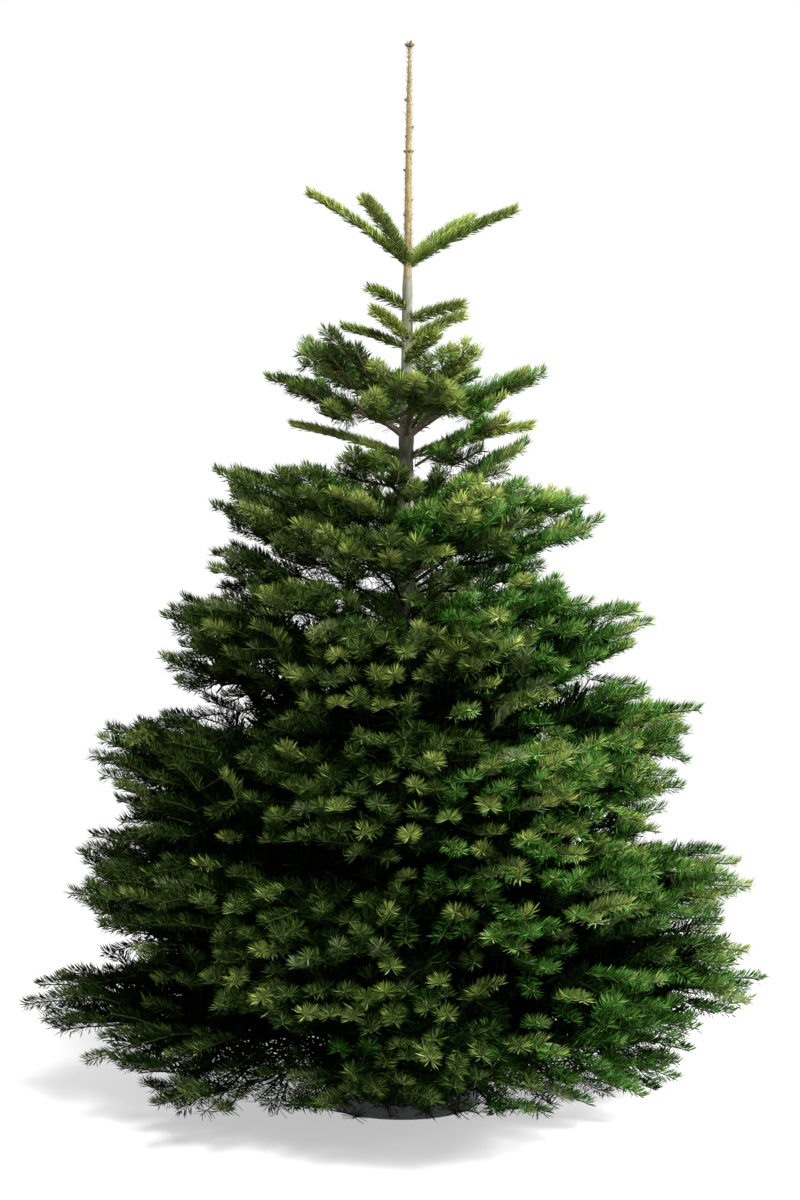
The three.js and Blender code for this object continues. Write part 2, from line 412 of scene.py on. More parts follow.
@dataclass(frozen=True)
class TrunkBarkFinish(BarkFinish):
    """The trunk's bark, darkened downwards by painted shade under the crown, and turning to a young leader's
    tan at the top.
    """

    tan: Colour = (0.19, 0.145, 0.055)
    tan_span: Span = (1.55, 1.60)  # heights where it begins and is full
    tan_shadow: float = 0.55
    # painted shade under the crown, with older bark's darker tone: the colour the lower trunk is multiplied
    # by, and the heights where that begins and is full
    worn: Colour = (0.22, 0.21, 0.19)
    shaded_old_span: Span = (1.12, 0.92)
    fibre: float = 260.0
    fibre_stretch: tuple[float, float, float] = (1.0, 1.0, 0.12)
    fibre_stops: Span = (0.3, 0.62)

    def shade_and_age(self, graph: NodeGraph, colour: Socket) -> Socket:
        """Changes the bark's colour with its height on the trunk: painted shade lower down, a young leader's
        tan at the top.

        Args:
            graph: The material's graph.
            colour: The bark's colour.

        Returns:
            The new colour.
        """
        height = graph.upward(graph.place())
        # painted shade on the lower trunk, under the crown
        worn = graph.ramp(graph.remap(height, self.shaded_old_span), ((0.0, WHITE), (1.0, self.worn)))
        darker = graph.mix(1.0, colour, worn, "MULTIPLY")
        fibres = graph.noise(graph.place(self.fibre_stretch), self.fibre, 4.0)
        shadow = tuple(self.tan_shadow * c for c in self.tan)
        tan = graph.ramp(fibres, tuple(zip(self.fibre_stops, (shadow, self.tan))))
        return graph.mix(graph.remap(height, self.tan_span), darker, tan)


@dataclass(frozen=True)
class PaintFinish:
    """Satin paint or plated metal with fine texture, scuffs and settled dust."""

    name: str
    colour: Colour
    metallic: float
    roughness: Span
    texture: float
    dust: float
    cloud: float = 14.0
    lighter: float = 1.35
    scuff: float = 55.0
    peel_depth: float = 0.0004

    def build(self, effects: SharedEffects) -> bpy.types.Material:
        """Makes the material.

        Args:
            effects: The shared node groups.

        Returns:
            The material.
        """
        material, graph, shader = new_material(self.name, self.colour)
        place = graph.place()
        light = tuple(min(1.0, self.lighter * c) for c in self.colour)
        tone = graph.ramp(graph.noise(place, self.cloud, 5.0), ((0.35, self.colour), (0.7, light)))
        dust = graph.add("Group", {"Color": tone, "Amount": self.dust}, node_tree=effects.dust)
        rough = graph.remap(graph.noise(place, self.scuff, 9.0, 0.75), (0.35, 0.7), self.roughness)
        graph.feed(shader, "Base Color", dust.outputs["Color"])
        graph.feed(shader, "Roughness", graph.math("MULTIPLY_ADD", dust.outputs["Mask"], 0.5, rough))
        peel = graph.noise(place, self.texture, 3.0)
        bump = graph.add("Bump", {"Height": peel, "Distance": self.peel_depth, "Strength": 0.5})
        graph.feed(shader, "Normal", bump.outputs["Normal"])
        graph.feed(shader, "Metallic", self.metallic)
        return material


class Hue(IntEnum):
    """The greens that needles are dealt out in, from the painted shade of the inside to this year's tips,
    the lightest of them painted as lit.
    """

    DEEP = 0
    DARK = 1
    MID = 2
    FRESH = 3
    BRIGHT = 4
    TIP = 5
    SUNNY = 6
    COOL_DARK = 7
    COOL_MID = 8
    COOL_FRESH = 9
    COOL_BRIGHT = 10
    PALE_FRESH = 11
    PALE_BRIGHT = 12
    PALE_TIP = 13


class Cast(IntEnum):
    """The ranges of greens that sprays are of."""

    WARM = 0
    COOL = 1
    PALE = 2


NEEDLE_COLOURS: dict[Hue, Colour] = {
    Hue.DEEP: (0.0022, 0.0068, 0.0010),
    Hue.DARK: (0.0064, 0.0185, 0.0023),
    Hue.MID: (0.0150, 0.034, 0.0050),
    Hue.FRESH: (0.034, 0.066, 0.0090),
    Hue.BRIGHT: (0.080, 0.128, 0.0165),
    Hue.TIP: (0.150, 0.205, 0.0330),
    Hue.SUNNY: (0.240, 0.285, 0.0520),
    Hue.COOL_DARK: (0.0038, 0.018, 0.0024),
    Hue.COOL_MID: (0.0130, 0.060, 0.0045),
    Hue.COOL_FRESH: (0.037, 0.122, 0.0120),
    Hue.COOL_BRIGHT: (0.078, 0.205, 0.0360),
    Hue.PALE_FRESH: (0.040, 0.070, 0.0190),
    Hue.PALE_BRIGHT: (0.082, 0.124, 0.0390),
    Hue.PALE_TIP: (0.150, 0.202, 0.0780),
}
CAST_HUES: dict[Cast, tuple[Hue, ...]] = {
    Cast.WARM: (Hue.DEEP, Hue.DARK, Hue.MID, Hue.FRESH, Hue.BRIGHT, Hue.TIP, Hue.SUNNY),
    Cast.COOL: (Hue.DEEP, Hue.COOL_DARK, Hue.COOL_MID, Hue.COOL_FRESH, Hue.COOL_BRIGHT, Hue.TIP, Hue.SUNNY),
    Cast.PALE: (Hue.DEEP, Hue.DARK, Hue.MID, Hue.PALE_FRESH, Hue.PALE_BRIGHT, Hue.PALE_TIP, Hue.PALE_TIP),
}
SHADED_HUES = (Hue.DEEP, Hue.DARK, Hue.MID, Hue.COOL_DARK, Hue.COOL_MID, Hue.COOL_FRESH)


class TwigAge(IntEnum):
    """The tones of twigs: this year's, a few years old, older ones and those in painted shade deep inside,
    and the bare ones at the tree's top.
    """

    YOUNG = 0
    GROWN = 1
    OLD = 2
    BARE = 3


TWIG_COLOURS: dict[TwigAge, Colour] = {
    TwigAge.YOUNG: (0.028, 0.040, 0.009),
    TwigAge.GROWN: (0.008, 0.009, 0.003),
    TwigAge.OLD: (0.006, 0.005, 0.003),
    TwigAge.BARE: (0.080, 0.062, 0.034),
}


# ---- What the frame says of the tree ----


class TrunkLine:
    """The trunk's middle line and radius at each height, as the CAD trunk has them."""

    def __init__(self) -> None:
        """Reads the rings of the CAD trunk."""
        points = cad_points("trunk")
        levels = np.unique(np.round(points[:, 2], 4))
        rings = [points[np.abs(points[:, 2] - z) < 1e-4] for z in levels]
        self.z = levels
        self.x = np.array([(ring[:, 0].min() + ring[:, 0].max()) / 2 for ring in rings])
        self.r = np.array([(ring[:, 0].max() - ring[:, 0].min()) / 2 for ring in rings])

    def centre(self, z: float) -> Vec:
        """The point of the middle line at a height."""
        return np.array([np.interp(z, self.z, self.x), 0.0, z])

    def radius(self, z: float) -> float:
        """The trunk's radius at a height."""
        return float(np.interp(z, self.z, self.r))

    def around(self, z: Vec, turn: Vec, skin: float) -> tuple[Vec, Vec]:
        """Finds places on the bark.

        Args:
            z: Their heights.
            turn: Their bearings, in radians.
            skin: How far out they are, as a share of the trunk's radius.

        Returns:
            The places, and the ways out from the middle line there.
        """
        radial = np.stack([np.cos(turn), np.sin(turn), np.zeros(len(z))], axis=1)
        centre = np.stack([np.interp(z, self.z, self.x), np.zeros(len(z)), z], axis=1)
        return centre + radial * np.interp(z, self.z, self.r)[:, None] * skin, radial


@dataclass
class Guide:
    """The line that a bough grows along."""

    foot: Vec
    start: Vec  # a point near the trunk that it passes through
    tip: Vec
    years: int
    radius: float
    zone: int


@dataclass(frozen=True)
class WhorlPlan:
    """How one whorl of the crown grows, with the lesser boughs under it."""

    name: str
    years: int
    between: int  # how many boughs lie between its main ones
    below: int  # how many the trunk carries from there to the next whorl
    share: float  # the reach of those, as a share of the crown's
    thick: float
    room: float  # half the thickness of a bough's fan
    half: float  # half the angle of its fan, in degrees
    gap: float = 0.0  # how far under it the first of those is, in their spacings
    bare: float = 0.2  # how much of a bough has no side twigs, as a share
    shade: float = 1.0  # how dark it is inside, as a share of the lowest
    rise: float = 0.0  # of the tips of those between
    sag: float = 0.0  # of the tips of those below

    @property
    def fan(self) -> tuple[float, float, float]:
        """What each of its boughs is grown with: half, in radians, room and thick."""
        return math.radians(self.half), self.room, self.thick


WHORLS = (
    WhorlPlan(
        "w2", 3, between=4, below=7, share=0.80, thick=1.35, room=0.020, half=33.0,
        gap=1.6, bare=0.50, shade=0.0, rise=0.045,
    ),
    WhorlPlan(
        "w3", 4, between=6, below=14, share=1.04, thick=1.25, room=0.052, half=32.0,
        bare=0.16, shade=0.30, rise=0.050,
    ),
    WhorlPlan(
        "w4", 5, between=5, below=15, share=0.97, thick=1.1, room=0.115, half=28.0,
        shade=0.8, rise=-0.01,
    ),
    WhorlPlan("w5", 6, between=4, below=17, share=0.97, thick=1.0, room=0.135, half=27.0),
    WhorlPlan("w6", 6, between=4, below=17, share=0.97, thick=1.0, room=0.135, half=27.0),
    WhorlPlan(
        "w7", 7, between=6, below=16, share=0.92, thick=1.0, room=0.105, half=27.0,
        rise=-0.03, sag=0.08,
    ),
)
MAIN_BOUGHS = 4  # of each whorl
NEEDLE_OVERHANG = 0.018  # how far needles reach past the end of their twig
LOWEST_FOOT = 0.165  # the height where the lowest boughs leave the trunk
FAN_END = 0.965  # how far out along a bough its side twigs reach, as a share
OPEN_ZONES = 2  # how many of the whorls are open enough to see into
AGED = 3  # the years from which a twig counts as old
YOUNG_THICK = 2.4
YOUNG_TINT = 2.2
BUD_SEED = 3
EXTRA_SHOOTS = (  # the height where each leaves the trunk, and its end
    (1.445, (0.111, -0.030, 1.492)),
    (1.452, (-0.050, -0.075, 1.500)),
    (1.405, (0.060, -0.110, 1.455)),
)


@dataclass
class CrownForm:
    """The main boughs' lines as the frame has them, and the crown's reach between them."""

    trunk: TrunkLine
    end_depth: float = 0.010  # the part of a CAD bough's outer end that is read
    root_depth: float = 0.006  # the same of its inner end
    slim: float = 0.9  # a bough's radius, as a share of the CAD one's
    under: Span = (0.17, 0.82)  # how far below the tips the crown ends, and its reach there
    over: Span = (0.09, 0.8)  # the same above the highest ones
    start: float = 0.2  # how far out a lesser bough's line is led
    wood: Span = (0.3, 0.45)  # a lesser bough's radius, and what its reach adds, as shares

    def __post_init__(self) -> None:
        """Reads each main bough and its mass from the frame."""
        self.mains: list[Guide] = []
        rows = []
        for zone, plan in enumerate(WHORLS):
            guides = [self._main(f"{plan.name}_{i + 1}", plan, zone) for i in range(MAIN_BOUGHS)]
            self.mains += guides
            away = [g.start - g.foot for g in guides]
            rows.append(
                (
                    np.mean([g.foot[2] for g in guides]),
                    np.max([np.hypot(*g.tip[:2]) for g in guides]) + NEEDLE_OVERHANG,
                    np.mean([g.tip[2] for g in guides]),
                    np.mean([a[2] / np.hypot(*a[:2]) for a in away]),
                    guides[0].radius,
                )
            )
        self.feet, self.reaches, self.tips, self.slopes, self.radii = np.array(rows[::-1]).T

    def _main(self, label: str, plan: WhorlPlan, zone: int) -> Guide:
        """Reads one main bough's line.

        Args:
            label: The bough's name after "bough_" and "mass_".
            plan: Its whorl.
            zone: Its whorl's number.

        Returns:
            The line.
        """
        wood = cad_points("bough_" + label)
        mass = cad_points("mass_" + label)
        out = np.hypot(wood[:, 0] - self.trunk.centre(wood[:, 2].mean())[0], wood[:, 1])
        end = wood[out > out.max() - self.end_depth]
        start = end.mean(axis=0)
        root = wood[out < out.min() + self.root_depth].mean(axis=0)
        slope = (start - root)[2] / np.hypot(*(start - root)[:2])
        foot = self.trunk.centre(root[2])
        foot[2] -= slope * np.hypot(*(root - foot)[:2])
        far = mass[np.argmax(np.hypot(mass[:, 0], mass[:, 1]))]
        tip = far - unit(far - start) * NEEDLE_OVERHANG
        radius = (end[:, 2].max() - end[:, 2].min()) / 2
        return Guide(foot, start, tip, plan.years, radius * self.slim, zone)

    def usual(self, foot_z: float, column: Vec) -> float:
        """A measure of the crown, such as its reach, for a bough that leaves the trunk at a height."""
        return float(np.interp(foot_z, self.feet, column))

    def outline(self, z: Vec) -> Vec:
        """Finds the crown's reach at the height of the tips themselves.

        Args:
            z: The heights.

        Returns:
            The reaches.
        """
        (down, least), (up, most) = self.under, self.over
        heights = np.concatenate([[self.tips[0] - down], self.tips, [self.tips[-1] + up]])
        reach = np.concatenate([[self.reaches[0] * least], self.reaches, [self.reaches[-1] * most]])
        return np.interp(z, heights, reach)

    def lesser(
        self, foot_z: float, bearing: float, share: float, years: int, zone: int, lift: float
    ) -> Guide:
        """Makes the line of a bough that the frame doesn't have.

        Args:
            foot_z: The height that it leaves the trunk at.
            bearing: Its bearing, in radians.
            share: Its reach, as a share of the crown's there.
            years: How many years it has grown.
            zone: The part of the crown that it belongs to.
            lift: How much higher its tip is than the crown's usual one there.

        Returns:
            The line.
        """
        way = np.array([math.cos(bearing), math.sin(bearing), 0.0])
        reach = self.usual(foot_z, self.reaches) * share - NEEDLE_OVERHANG
        rise = self.usual(foot_z, self.tips - self.feet) * share + lift
        foot = self.trunk.centre(foot_z)
        start = foot + (way + UP * self.usual(foot_z, self.slopes)) * reach * self.start
        least, more = self.wood
        radius = self.usual(foot_z, self.radii) * (least + more * share)
        return Guide(foot, start, foot + way * reach + UP * rise, years, radius, zone)


# ---- Growth ----


def on_curve(line: tuple[Vec, Vec, Vec], t: Vec) -> Vec:
    """Finds points of a quadratic curve."""
    first, middle, last = line
    return (1 - t) ** 2 * first + 2 * t * (1 - t) * middle + t * t * last


@dataclass
class Stretches:
    """Every year's stretch of every twig, as arrays with a row each."""

    p0: Vec  # the first point of its quadratic curve
    p1: Vec  # the middle point of the curve
    p2: Vec
    normal: Vec
    r0: Vec  # its radius at the first point
    r1: Vec  # its radius at the last point
    age: Vec  # 0 for this year's, 1 for last year's, and so on
    zone: Vec
    tint: Vec
    cast: Vec
    thick: Vec
    length: Vec
    depth: Vec  # how far its end is behind the outermost tips around it

    def pick(self, chosen: Vec) -> "Stretches":
        """Keeps only some stretches."""
        return Stretches(*(column[chosen] for column in vars(self).values()))

    def at(self, t: Vec) -> tuple[Vec, Vec, Vec, Vec]:
        """Reads each stretch at its own share of the way along.

        Args:
            t: The share of the way for each stretch.

        Returns:
            The points, the headings, the upper sides and the sides across.
        """
        t = t[:, None]
        heading = unit((1 - t) * (self.p1 - self.p0) + t * (self.p2 - self.p1))
        across = unit(np.cross(heading, self.normal))
        return on_curve((self.p0, self.p1, self.p2), t), heading, np.cross(across, heading), across

    def radius(self, t: Vec | float) -> Vec:
        """Each stretch's radius at a share of the way along."""
        return self.r0 + (self.r1 - self.r0) * t


@dataclass
class Spray:
    """What all the twigs of one bough share."""

    normal: Vec  # the side of them that faces up
    zone: int
    tint: float  # how light it is, painted light and shade by its place, about -1 to 1
    cool: float
    thick: float


@dataclass
class Limb:
    """A bough that has grown, and the fan that its twigs may fill."""

    spray: Spray
    line: tuple[Vec, Vec, Vec]  # the three points of its curve
    half: float  # half the angle of its fan, in radians
    room: float
    hang: float  # how much higher than the hem its twigs may hang
    inset: float
    tilt: float
    rounding: float = 0.34  # how much shorter the fan is at its sides
    wedge: Span = (1.2, 0.85)  # its thickness at the trunk, and how much is gone at the tip
    arch: float = 0.03  # how much lower the fan's sides are than its middle
    numbers: list[int] = field(default_factory=list)
    nodes: list[Vec] = field(default_factory=list)

    def at(self, t: Vec | float) -> Vec:
        """The points of its line at shares of the way along."""
        return on_curve(self.line, np.asarray(t)[..., None])

    def add(self, number: int, place: Vec) -> int:
        """Keeps a node.

        Args:
            number: Its number in the whole growth.
            place: Where it is.

        Returns:
            Its number within the bough.
        """
        self.numbers.append(number)
        self.nodes.append(place)
        return len(self.nodes) - 1

    def places(self, count: int, rng: np.random.Generator) -> Vec:
        """Scatters places over its fan.

        Args:
            count: How many.
            rng: The random numbers.

        Returns:
            The places.
        """
        along = np.sqrt(rng.uniform(WHORLS[self.spray.zone].bare ** 2, FAN_END**2, count))
        aside = rng.uniform(-1.0, 1.0, count)
        flat = self.at(along) - self.line[0]
        shrink = 1 - self.rounding * aside**2
        turn = aside * self.half
        x = (flat[:, 0] * np.cos(turn) - flat[:, 1] * np.sin(turn)) * shrink
        y = (flat[:, 0] * np.sin(turn) + flat[:, 1] * np.cos(turn)) * shrink
        full, gone = self.wedge
        lift = rng.uniform(-1.0, 1.0, count) * self.room * (full - gone * along) - self.arch * aside**2
        return self.line[0] + np.stack([x, y, flat[:, 2] * shrink + lift], axis=1)


@dataclass(frozen=True)
class Hem:
    """How low twigs may hang: lifted towards the front, and clear of the stand."""

    least: float = 0.028
    slope: float = 0.265  # its rise towards the front
    drop: float = 0.010  # how far under the trunk's foot that starts
    clear: float = 0.07
    stand: Span = (0.17, 0.24)  # distances where that is full and where it ends

    def height(self, points: Vec) -> Vec:
        """The lowest that twigs may hang at some points."""
        near = smooth_step(self.stand[1], self.stand[0], np.hypot(points[..., 0], points[..., 1]))
        return np.maximum(self.least, -self.slope * points[..., 1] - self.drop) + self.clear * near


@dataclass(frozen=True)
class Tinting:
    """How light and how cool the twigs of a bough are, by the place of its tip; how light is painted light
    and shade.
    """

    aside: Table = ((-0.5, -0.1, 0.45), (-1.25, -0.15, 0.50))  # how light a bough is, from left to right: painted shade on the left, painted light on the right
    height: Table = ((0.15, 0.45, 0.9, 1.4), (-0.85, -0.20, 0.0, 0.40))  # and from foot to top: painted shade low down, painted light at the top
    spread: float = 0.28
    cool_from: float = 0.02  # how far to the right the cooler greens begin
    cool_by: float = 3.0  # how much more likely they get, for each metre
    cool_most: float = 0.92
    lit: float = 0.27  # the share of shoots that are the brightest, painted as lit
    lit_by: Span = (1.45, -0.5)  # how much lighter those are, and the rest
    twig_spread: float = 0.45
    aged_cool: float = 0.35  # how much cooler older twigs are
    pale: float = 0.05  # the share of paler stretches

    def cool(self, tip: Vec) -> float:
        """How likely a bough's twigs are to be of the cooler greens."""
        return float(np.clip(self.cool_by * (tip[0] - self.cool_from), 0.0, self.cool_most))

    def bough(self, tip: Vec, rng: np.random.Generator) -> float:
        """Draws how light a bough is: painted light and shade by the place of its tip, and a random spread.
        """
        tint = rng.normal(0, self.spread) + float(np.interp(tip[0], *self.aside))
        return tint + float(np.interp(tip[2], *self.height))

    def twigs(self, sprays: Sequence[Spray], age: Vec, rng: np.random.Generator) -> tuple[Vec, Vec]:
        """Draws how light each twig is, and its range of greens.

        Args:
            sprays: What each twig shares with its bough.
            age: How old each is.
            rng: The random numbers.

        Returns:
            The tints and the casts.
        """
        lit = np.where(rng.random(len(age)) < self.lit, *self.lit_by) * (age == 0)
        tint = np.array([spray.tint for spray in sprays]) + lit
        tint = tint + rng.normal(0, self.twig_spread, len(age))
        draw = rng.random(len(age))
        cool = draw < np.array([spray.cool for spray in sprays]) + self.aged_cool * (age > 0)
        return tint, np.select([cool, draw > 1 - self.pale], [Cast.COOL, Cast.PALE], Cast.WARM)


@dataclass(frozen=True)
class Habit:
    """The numbers of the branching rule."""

    tries: int = 1800  # places looked at on each fan
    spacing: Table = ((0.04, 0.14, 0.35), (0.036, 0.042, 0.056))  # of the ends of twigs, by depth
    own_room: float = 0.8  # to a bough's nodes, as a share of the closest
    shade: float = 0.60
    layers: Span = (0.05, 0.13)  # depths that split the places to fill first, next and last
    overshoot: float = 0.008  # how far over the outline's inside twigs may end
    ground: Span = (0.026, 0.02)  # the very lowest, and its unevenness
    stride: tuple[float, float, float] = (0.036, 0.074, 0.112)  # a year's shortest, usual and longest
    last_year: Span = (0.8, 1.15)  # of a twig's last year, as shares of the usual
    slack: float = 0.1  # how much longer yet a stretch may be
    reach: float = 3  # the farthest that a twig reaches, in longest strides
    ahead: float = 0.2  # how much of a stretch should lead outwards
    costs: tuple[float, float, float] = (0.09, 0.3, 0.5)  # of a detour, a short step and one back
    turn_up: Table = ((0.05, 0.3, 0.9, 1.4), (-0.05, 0.10, 0.32, 0.46))  # how steeply, by height
    turning: Span = (0.5, 0.2)  # how much they do this year, and did before
    bow: float = 0.5  # how far out a bough's middle point is
    lean: float = 0.16
    droop: float = -0.035  # how much lower than the usual the twigs of a bough may hang
    tilt: float = 0.10
    years: Span = (0.9, 1.12)  # the lengths of a bough's years, against each other
    skin: float = 0.006  # how far outside the bark a bough's nodes begin
    wobble: float = 0.006
    twig_wobble: float = 0.12
    heading_wobble: float = 0.10
    wood: Span = (0.0013, 0.42)  # radius for one tip, and the power of their number
    top_wood: float = 1.35
    end_wood: float = 0.85  # how thick this year's are at their end, as a share
    taper: float = 1.35  # how much thicker a stretch may begin


@dataclass(frozen=True)
class Shading:
    """How the foliage in front of a twig is felt, towards the side and towards the sky."""

    ways: Span = (0.1, 0.9)  # how steeply each of the two looks up
    probes: tuple[float, ...] = (0.075, 0.145, 0.215)  # how far in front it is looked for
    size: float = 0.06
    per_twig: float = 0.026  # the depth that each twig found there counts for

    def depths(self, ends: Vec) -> Vec:
        """Finds how deep each end lies in the foliage.

        Args:
            ends: The ends.

        Returns:
            The depths.
        """
        tree = planted(ends)
        flat = unit(ends * FLAT)
        depths = []
        for way in (flat + steep * UP for steep in self.ways):
            probes = [ends + unit(way) * far for far in self.probes]
            counts = [[len(tree.find_range(place, self.size)) for place in probe] for probe in probes]
            depths.append(self.per_twig * np.sum(counts, axis=0))
        return np.minimum(*depths)


@dataclass
class Growth:
    """Grows boughs by a seeded branching rule: twigs reach, a year at a time, for free places."""

    form: CrownForm
    seed: int
    habit: Habit = Habit()
    hem: Hem = Hem()
    tinting: Tinting = Tinting()
    points: list[Vec] = field(default_factory=list)
    middles: list[Vec] = field(default_factory=list)
    parents: list[int] = field(default_factory=list)  # -1 at the trunk
    sprays: list[Spray] = field(default_factory=list)
    limbs: list[Limb] = field(default_factory=list)

    def __post_init__(self) -> None:
        """Starts the random numbers."""
        self.rng = np.random.default_rng(self.seed)

    def outward(self, points: Vec) -> Vec:
        """Finds the way that shoots turn to: away from the trunk, and up more the higher they are."""
        steep = np.interp(points[..., 2], *self.habit.turn_up)
        return unit(unit(points * FLAT) + steep[..., None] * UP)

    def node(self, point: Vec, parent: int, spray: Spray, middle: Vec | None = None) -> int:
        """Keeps one node, and the stretch that ends there.

        Args:
            point: Where it is.
            parent: The node that the stretch comes from, or -1 at the trunk.
            spray: What the twig shares with its bough.
            middle: The middle point of the stretch's curve, if it is known.

        Returns:
            The node's number.
        """
        self.points.append(point)
        self.parents.append(parent)
        self.sprays.append(spray)
        self.middles.append(np.full(3, np.nan) if middle is None else middle)
        return len(self.points) - 1

    def bough(
        self, guide: Guide, half: float, room: float, thick: float, inset: float = 0.0, hang: float = 0.04
    ) -> None:
        """Grows the main axis of one bough.

        Args:
            guide: The bough's line.
            half: Half the angle of its fan, in radians.
            room: Half the thickness of its fan.
            thick: How thickly its shoots are set with needles.
            inset: How far inside the crown's outline its twigs end.
            hang: How much higher than the lowest its twigs may hang.
        """
        rng, habit = self.rng, self.habit
        reach = float(np.hypot(*(guide.tip - guide.foot)[:2]))
        away = guide.start - guide.foot
        control = guide.foot + away * (habit.bow * reach / np.hypot(*away[:2]))
        tint = self.tinting.bough(guide.tip, rng)
        normal = unit(UP + rng.normal(0, habit.lean, 3))
        spray = Spray(normal, guide.zone, tint, self.tinting.cool(guide.tip), thick)
        line = (guide.foot, control, guide.tip)
        hang = rng.uniform(habit.droop, hang)
        limb = Limb(spray, line, half, room, hang, inset, rng.normal(0, habit.tilt))
        shares = rng.uniform(*habit.years, guide.years)
        skin = (self.form.trunk.radius(guide.foot[2]) + habit.skin) / reach
        marks = skin + (1 - skin) * np.cumsum(shares) / shares.sum()
        last = self.node(limb.at(skin), -1, spray)
        for mark in marks:
            end = limb.at(mark) + rng.normal(0, habit.wobble, 3) * (mark < marks[-1])
            end[2] = max(end[2], self.hem.height(end))
            last = self.node(end, last, spray)
            limb.add(last, end)
        self.limbs.append(limb)

    def reach(self) -> None:
        """Grows twigs from every bough to the free places of its fan."""
        rng, habit = self.rng, self.habit
        places = np.concatenate([limb.places(habit.tries, rng) for limb in self.limbs])
        owner = np.repeat(np.arange(len(self.limbs)), habit.tries)
        hang = np.array([limb.hang for limb in self.limbs])[owner]
        least, uneven = habit.ground
        lowest = np.maximum(self.hem.height(places) + hang, least)
        places[:, 2] = np.maximum(places[:, 2], lowest + rng.uniform(0, uneven, len(places)))
        depth = self.form.outline(places[:, 2]) - np.hypot(places[:, 0], places[:, 1])
        inset = np.array([limb.inset for limb in self.limbs])[owner]
        inside = (depth > NEEDLE_OVERHANG - habit.overshoot + inset) & (depth < habit.shade)
        places, owner, depth = places[inside], owner[inside], depth[inside]
        rank = rng.random(len(places)) + (depth > habit.layers[0]) + (depth > habit.layers[1])
        chosen = self.thinned(places, np.interp(depth, *habit.spacing), np.argsort(rank))
        foot = np.array([limb.line[0] for limb in self.limbs])
        far = np.linalg.norm(places - foot[owner], axis=1)
        for number, limb in enumerate(self.limbs):
            mine = chosen[owner[chosen] == number]
            mine = mine[np.argsort(far[mine])]
            self.attach(limb, places[mine], depth[mine])

    def thinned(self, places: Vec, room: Vec, order: Vec) -> Vec:
        """Keeps places that are far enough from each other and from the boughs' own nodes.

        Args:
            places: The places.
            room: How far from each the next may be.
            order: The order that they are taken in.

        Returns:
            The numbers of those that are kept.
        """
        tree = planted(places)
        free = np.ones(len(places), dtype=bool)
        own_room = self.habit.spacing[1][0] * self.habit.own_room
        for point in self.points:
            free[[hit[1] for hit in tree.find_range(point, own_room)]] = False
        kept = []
        for i in order:
            if free[i]:
                free[[hit[1] for hit in tree.find_range(places[i], room[i])]] = False
                kept.append(i)
        return np.array(kept)

    def attach(self, limb: Limb, places: Vec, depth: Vec) -> None:
        """Grows twigs to places on one bough's fan, the nearest to the trunk first.

        Args:
            limb: The bough.
            places: The places.
            depth: How far each is inside the crown.
        """
        habit = self.habit
        shortest, usual, _ = habit.stride
        for place, inside in zip(places, depth):
            wobble = self.rng.normal(0, habit.twig_wobble, 3)
            out = unit(self.outward(place) + UP * limb.tilt + wobble)
            if inside > habit.layers[1]:
                self.extend(limb, place, out)
                continue
            behind = place - out * usual * self.rng.uniform(*habit.last_year)
            behind[2] = max(behind[2], self.hem.height(behind))
            gaps = np.linalg.norm(np.array(limb.nodes) - behind, axis=1)
            nearest = int(np.argmin(gaps))
            if gaps[nearest] > shortest:
                nearest = self.extend(limb, behind, out)
            if nearest is not None:
                self.link(limb, nearest, place)

    def extend(self, limb: Limb, place: Vec, out: Vec) -> int | None:
        """Grows a twig to a place from the fittest node of the bough.

        Args:
            limb: The bough.
            place: The place.
            out: The way that shoots turn to there.

        Returns:
            The new node's number within the bough, or None if the place is out of reach.
        """
        habit = self.habit
        shortest, usual, longest = habit.stride
        detour, short, back = habit.costs
        step = place - np.array(limb.nodes)
        distance = np.linalg.norm(step, axis=1)
        ahead = step @ out / distance
        cost = np.abs(distance - usual) + detour * (1 - ahead)
        cost = cost + short * (distance < shortest) + back * (ahead < habit.ahead)
        best = int(np.argmin(cost))
        if ahead[best] < 0 or distance[best] > habit.reach * longest:
            return None
        return self.link(limb, best, place)

    def link(self, limb: Limb, parent: int, place: Vec) -> int:
        """Grows a twig from a node to a place, in as many years as it takes.

        Args:
            limb: The bough.
            parent: The node's number within the bough.
            place: The place.

        Returns:
            The last new node's number within the bough.
        """
        foot = limb.nodes[parent]
        last = limb.numbers[parent]
        longest = self.habit.stride[2]
        pieces = max(1, math.ceil(float(np.linalg.norm(place - foot)) / longest - self.habit.slack))
        for i in range(pieces):
            point = foot + (place - foot) * (i + 1) / pieces
            last = self.node(point, last, limb.spray)
            newest = limb.add(last, point)
        return newest

    def ages(self) -> tuple[Vec, Vec]:
        """Counts back from the tips.

        Returns:
            For each node, its age in years, and how many tips it carries.
        """
        age = np.zeros(len(self.points), dtype=int)
        tips = np.zeros(len(self.points))
        for i in range(len(self.points) - 1, -1, -1):
            tips[i] = max(tips[i], 1.0)
            parent = self.parents[i]
            if parent >= 0:
                age[parent] = max(age[parent], age[i] + 1)
                tips[parent] += tips[i]
        return age, tips

